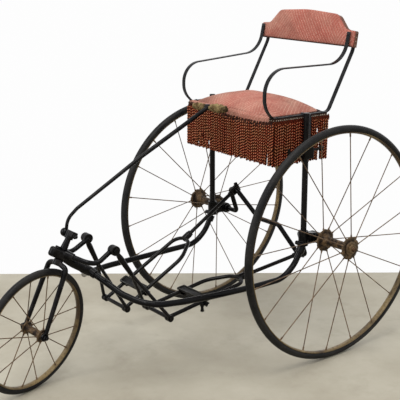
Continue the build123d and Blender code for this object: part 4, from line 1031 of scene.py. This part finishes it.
bandPath = alongPath(stations, dense, bandPath)
bandOut = unit(np.cross(zAxis, tangents(bandPath)))
v = np.linspace(0, 1, 9)
stitches = np.sin(2 * pi * (stations[:, None] / (band["stitch"] * mm) + np.abs(v - 0.5)[None] * 2))
relief = (band["thick"] / 2 + band["stitchHeight"] * stitches) * mm
relief *= np.sin(pi * np.clip(v, 0.06, 0.94)) ** 0.4
height = (band["low"] + (band["high"] - band["low"]) * v) * mm
faceGrid = bandPath[:, None] + zAxis * height[None, :, None] + bandOut[:, None] * relief[..., None]
backGrid = bandPath[:, None] + zAxis * height[None, ::-1, None] - bandOut[:, None] * band["behind"] * mm
# painted shade: the band's face is darkened throughout for the shade under the cushion's overhang, most in the
# hollows between the stitches, and its back is left at the near-black groove colour
bandPaintedShade = np.concatenate([0.46 + 0.30 * stitches, np.zeros_like(stitches)], 1)
bandPatch = patch(np.concatenate([faceGrid, backGrid], 1), capped=True, shade=bandPaintedShade)
heading = makePiece("fringeBand", [bandPatch], cordYarn)
nailCount = int(dense[-1] / (band["nailPitch"] * mm))
spots = (np.arange(nailCount) + 0.5) / nailCount * dense[-1]
nailSpots = alongPath(spots, stations, bandPath) + alongPath(spots, stations, bandOut) * band["nailOut"] * mm
nailSpots[:, 2] = band["nailHeight"] * mm
nailHeads = [ball(p, band["nailRadius"] * mm, 8) for p in nailSpots]
leanWithSeat(heading, makePiece("seatNails", nailHeads, nails))
print("band and nails made")

# back panel

back = dict(ahead=-136.0, low=924.0, lean=8.0, halfWidth=209.0, endHeight=48.0, step=170.0, stepHeight=51.0,
            shoulder=128.0, shoulderHeight=94.0, crest=102.0, bends=(5, 24, 30, 500, 30, 24, 5),
            padThick=12.0, puff=8.0, inset=0.4)
lean = radians(back["lean"])
panelOrigin = at(back["ahead"], 0, back["low"])
panelOut = np.array([cos(lean), 0, sin(lean)])
panelUp = np.array([-sin(lean), 0, cos(lean)])


def onPanel(sideways, rise, out):
    # places in millimetres across the back, up it, and out of its front
    sideways, rise, out = (np.asarray(value, float)[..., None] * mm for value in (sideways, rise, out))
    return panelOrigin + yAxis * sideways + panelUp * rise + panelOut * out


halfTop = [(back["halfWidth"], 0), (back["halfWidth"], back["endHeight"]), (back["step"], back["stepHeight"]),
           (back["shoulder"], back["shoulderHeight"])]
topCorners = [(-y, z) for y, z in halfTop] + [(0, back["crest"])] + halfTop[::-1]
topPath = roundedPath(topCorners, back["bends"], 2.0)


def topLine(y):
    # level ends, a sloping shoulder and a shallow crest, with an arc at every corner
    return np.interp(y, topPath[:, 0], topPath[:, 1])


across = np.sin(np.linspace(-pi / 2, pi / 2, 161)) * 0.35 + np.linspace(-1, 1, 161) * 0.65
y = across * (back["halfWidth"] - back["inset"])
tops = (topLine(y) - back["inset"])[:, None]
w = np.linspace(0, 1, 33)
frontHeights = 0.5 - 0.5 * np.cos(pi * w)  # dense at the welted edges
puff = (np.sin(pi * frontHeights) ** 0.35)[None] * (1 - np.abs(across) ** 14)[:, None]
frontFace = onPanel(y[:, None], back["inset"] + tops * frontHeights, (puff - 1) * back["puff"])
backFace = onPanel(y[:, None], back["inset"] + tops * w[::-1], 0.2 - back["padThick"])
padShell = patch(np.concatenate([frontFace, backFace], 1), capped=True)
pad = makePiece("backPad", [padShell], backCloth, replaced=["back_pad"])
layFlatUv(pad.data, yAxis, panelUp, panelOrigin)
co = pointsOf(pad.data) - panelOrigin
# the pad is darker towards its foot, over its lowest 7 mm
setShade(pad.data, np.clip(1 - (co @ panelUp) / (7 * mm), 0, 1) * 0.7)
leanWithSeat(pad)

backWelt = dict(stations=420, short=2.0, rise=1.6, out=-1.5, radius=2.0, turns=75)
weltY = np.linspace(-1, 1, backWelt["stations"]) * (back["halfWidth"] - backWelt["short"])
lowWelt = onPanel(weltY, backWelt["rise"], backWelt["out"])
grid, crown = ropeGrid(lowWelt, backWelt["radius"] * mm, backWelt["turns"])
leanWithSeat(makePiece("backWelt", [patch(grid, capped=True, shade=crown)], gimp))
# tacks up both ends of the board, and along its back under the top
tack = dict(endRises=(6, 18, 30, 42), endOut=-17.0, endRadius=2.2, pitch=16.0, reach=200.0, under=5.0,
            out=-24.2, radius=2.0)
tacks = []
for side in (1, -1):
    for rise in tack["endRises"]:
        tacks.append(ball(onPanel(side * back["halfWidth"], rise, tack["endOut"]), tack["endRadius"] * mm, 7))
for spotY in np.arange(-tack["reach"], tack["reach"] + 1, tack["pitch"]):
    tacks.append(ball(onPanel(spotY, topLine(spotY) - tack["under"], tack["out"]), tack["radius"] * mm, 7))
leanWithSeat(makePiece("panelTacks", tacks, nails))
print("back panel made")

# side straps

# a strap runs down the back's front, out as an armrest, round under the seat's edge and up behind the back
strap = dict(offset=194.0, width=14.0, thick=3.5, boardThick=12.0, nose=188.0, heel=-122.0, gap=0.1,
             frontTop=44, foldHeight=33, foldAt=156.5, seatRear=-66, backEnds=(-8, 38), bends=(14, 20, 50),
             firstBend=72, frontRivets=(36, 12), backRivets=(30, 10), seatRivets=(-40, 90, 138))
armrests = dict(Left=dict(side=1, rear=143.0, front=143.0, bow=70.0),
                Right=dict(side=-1, rear=145.0, front=121.0, bow=61.0))
half = strap["thick"] / 2
rail = half + strap["gap"]
behind = -back["padThick"] - strap["boardThick"] - rail
dome = np.array([(4.2, -0.8), (4.2, 0.2), (3.6, 1.2), (2.2, 2.0), (0.6, 2.3)]) * mm
section = flatSection(strap["width"] * mm, strap["thick"] * mm, 0.34)
for name, arm in armrests.items():
    offset = arm["side"] * strap["offset"]
    low = [(strap["heel"], arm["rear"]), (strap["nose"], arm["front"]), (strap["nose"], strap["foldHeight"]),
           (strap["foldAt"], rail), (strap["seatRear"], rail)]
    route = [onPanel(offset, strap["frontTop"], rail)]
    route += [at(x, offset, seat["boardTop"] + rise) for x, rise in low]
    route += [onPanel(offset, rise, behind) for rise in strap["backEnds"]]
    bends = (strap["firstBend"], arm["bow"], arm["bow"], *strap["bends"])
    path = roundedPath(route, [r * mm for r in bends], 2.5 * mm)
    rivets = [(onPanel(offset, rise, rail + half), panelOut) for rise in strap["frontRivets"]]
    rivets += [(onPanel(offset, rise, behind - half), -panelOut) for rise in strap["backRivets"]]
    rivets += [(at(x, offset, seat["boardTop"] + rail + half), zAxis) for x in strap["seatRivets"]]
    body = [carried(path, section, yAxis)] + [turned(spot, axis, dome, 20, False) for spot, axis in rivets]
    replaced = [f"side_strap_{name.lower()}"]
    leanWithSeat(makePiece(f"sideStrap{name}", body, strapMetal, replaced=replaced))
print("straps made")

# camera, light and floor

# solved from the photograph: place in mm, the other figures in degrees and mm of lens
camera = dict(place=(1826.1, 2067.5, 1143.5), lens=79.28, azimuth=143.0426, elevation=14.6167, roll=-0.232)
a, e, r = (radians(camera[k]) for k in ("azimuth", "elevation", "roll"))
backward = np.array([sin(a) * cos(e), -cos(a) * cos(e), sin(e)])
right = np.array([cos(a), sin(a), 0.0])
upward = np.cross(backward, right)
rightTurned = right * cos(r) + upward * sin(r)
upTurned = -right * sin(r) + upward * cos(r)
eye = bpy.data.cameras.new("camera")
eye.sensor_width, eye.lens = 36, camera["lens"]
eyeObject = addObject("camera", eye)
place = at(*camera["place"])
eyeObject.matrix_world = Matrix([
    [rightTurned[k], upTurned[k], backward[k], place[k]] for k in range(3)
] + [[0, 0, 0, 1]])
bpy.context.scene.camera = eyeObject

wallWhite = (0.985, 0.985, 0.985, 1)


def concrete():
    mat = Finish("concrete", (0.42, 0.385, 0.300), 0.75)
    cloud = mat.clouds(2.2, 7, 0.6, 0.36, 0.66)
    stain = mat.clouds(7, 8, 0.66, 0.52, 0.74)
    tone = mat.mix(cloud, (0.355, 0.318, 0.240), (0.475, 0.440, 0.350))
    mat.color(mat.mix(mat.times(stain, 0.40), tone, (0.25, 0.215, 0.155)))
    mat.bump(mat.noise(60, 6, 0.6), 0.08, 0.002)
    return mat.material


def whiteWall():
    # bright when seen from the front, nothing from behind, so that the object shows from every side
    material = bpy.data.materials.new("whiteWall")
    material.use_nodes = True
    tree = material.node_tree
    tree.nodes.clear()
    glow = addNode(tree, "ShaderNodeEmission", {"Color": wallWhite}).outputs[0]
    clear = addNode(tree, "ShaderNodeBsdfTransparent").outputs[0]
    behind = addNode(tree, "ShaderNodeNewGeometry").outputs["Backfacing"]
    either = addNode(tree, "ShaderNodeMixShader", {0: behind, 1: glow, 2: clear})
    addNode(tree, "ShaderNodeOutputMaterial", {"Surface": either.outputs[0]})
    return material


def stagePlane(name, corners, material):
    mesh = bpy.data.meshes.new(name)
    mesh.from_pydata([tuple(c) for c in corners], [], [(0, 1, 2, 3)])
    mesh.materials.append(material)
    plane = addObject(name, mesh)
    return plane


room = dict(floorReach=14.0, wallAway=0.503, wallReach=12.0, wallHeight=9.0)  # in metres
reach = room["floorReach"]
stagePlane("floor", [(-reach, -reach, 0), (reach, -reach, 0), (reach, reach, 0), (-reach, reach, 0)], concrete())
wallFoot = at(0, 0, 0) - unit(backward * (1, 1, 0)) * room["wallAway"]
across, high = rightTurned * (1, 1, 0) * room["wallReach"], zAxis * room["wallHeight"]
left, right = wallFoot - across, wallFoot + across
wall = stagePlane("wall", [left, right, right + high, left + high], whiteWall())
wall.visible_diffuse = wall.visible_shadow = False

world = bpy.data.worlds.new("studio")
bpy.context.scene.world = world
world.use_nodes = True
tree = world.node_tree
tree.nodes.clear()
rays = addNode(tree, "ShaderNodeLightPath").outputs
seen = rays["Is Camera Ray"]
for other in ("Is Transmission Ray", "Is Glossy Ray"):
    seen = addNode(tree, "ShaderNodeMath", {0: seen, 1: rays[other]}, operation="MAXIMUM").outputs[0]
plain = addNode(tree, "ShaderNodeBackground", {"Color": (0.97, 0.98, 1.0, 1), "Strength": 0.62})
bright = addNode(tree, "ShaderNodeBackground", {"Color": wallWhite})
sky = addNode(tree, "ShaderNodeMixShader", {0: seen, 1: plain.outputs[0], 2: bright.outputs[0]})
addNode(tree, "ShaderNodeOutputWorld", {"Surface": sky.outputs[0]})


def areaLight(name, spot, target, size, power, color=(1, 1, 1)):
    lamp = bpy.data.lights.new(name, "AREA")
    lamp.shape, lamp.size, lamp.energy, lamp.color = "DISK", size, power, color
    holder = addObject(name, lamp)
    holder.location = spot
    holder.rotation_mode = "QUATERNION"
    holder.rotation_quaternion = (Vector(target) - Vector(spot)).to_track_quat("-Z", "Y")


# place, what it points at, diameter in metres and watts
areaLight("overhead", (0.6, 0.9, 3.4), (0, 0, 0.4), 1.9, 52, (1.0, 0.985, 0.96))
areaLight("leftFill", (3.2, -0.4, 1.9), (0.2, 0, 0.4), 1.8, 26, (0.96, 0.98, 1.0))
areaLight("glint", (1.3, 2.3, 2.7), (0.1, 0, 0.3), 0.45, 9, (1.0, 0.99, 0.97))
areaLight("farGlint", (2.4, -0.9, 2.2), (0.2, 0, 0.3), 0.45, 7)
areaLight("behind", (-2.4, -1.6, 2.6), (-0.1, 0, 0.5), 1.8, 22)
bpy.context.scene.view_settings.view_transform = "Standard"

print("scene ready")
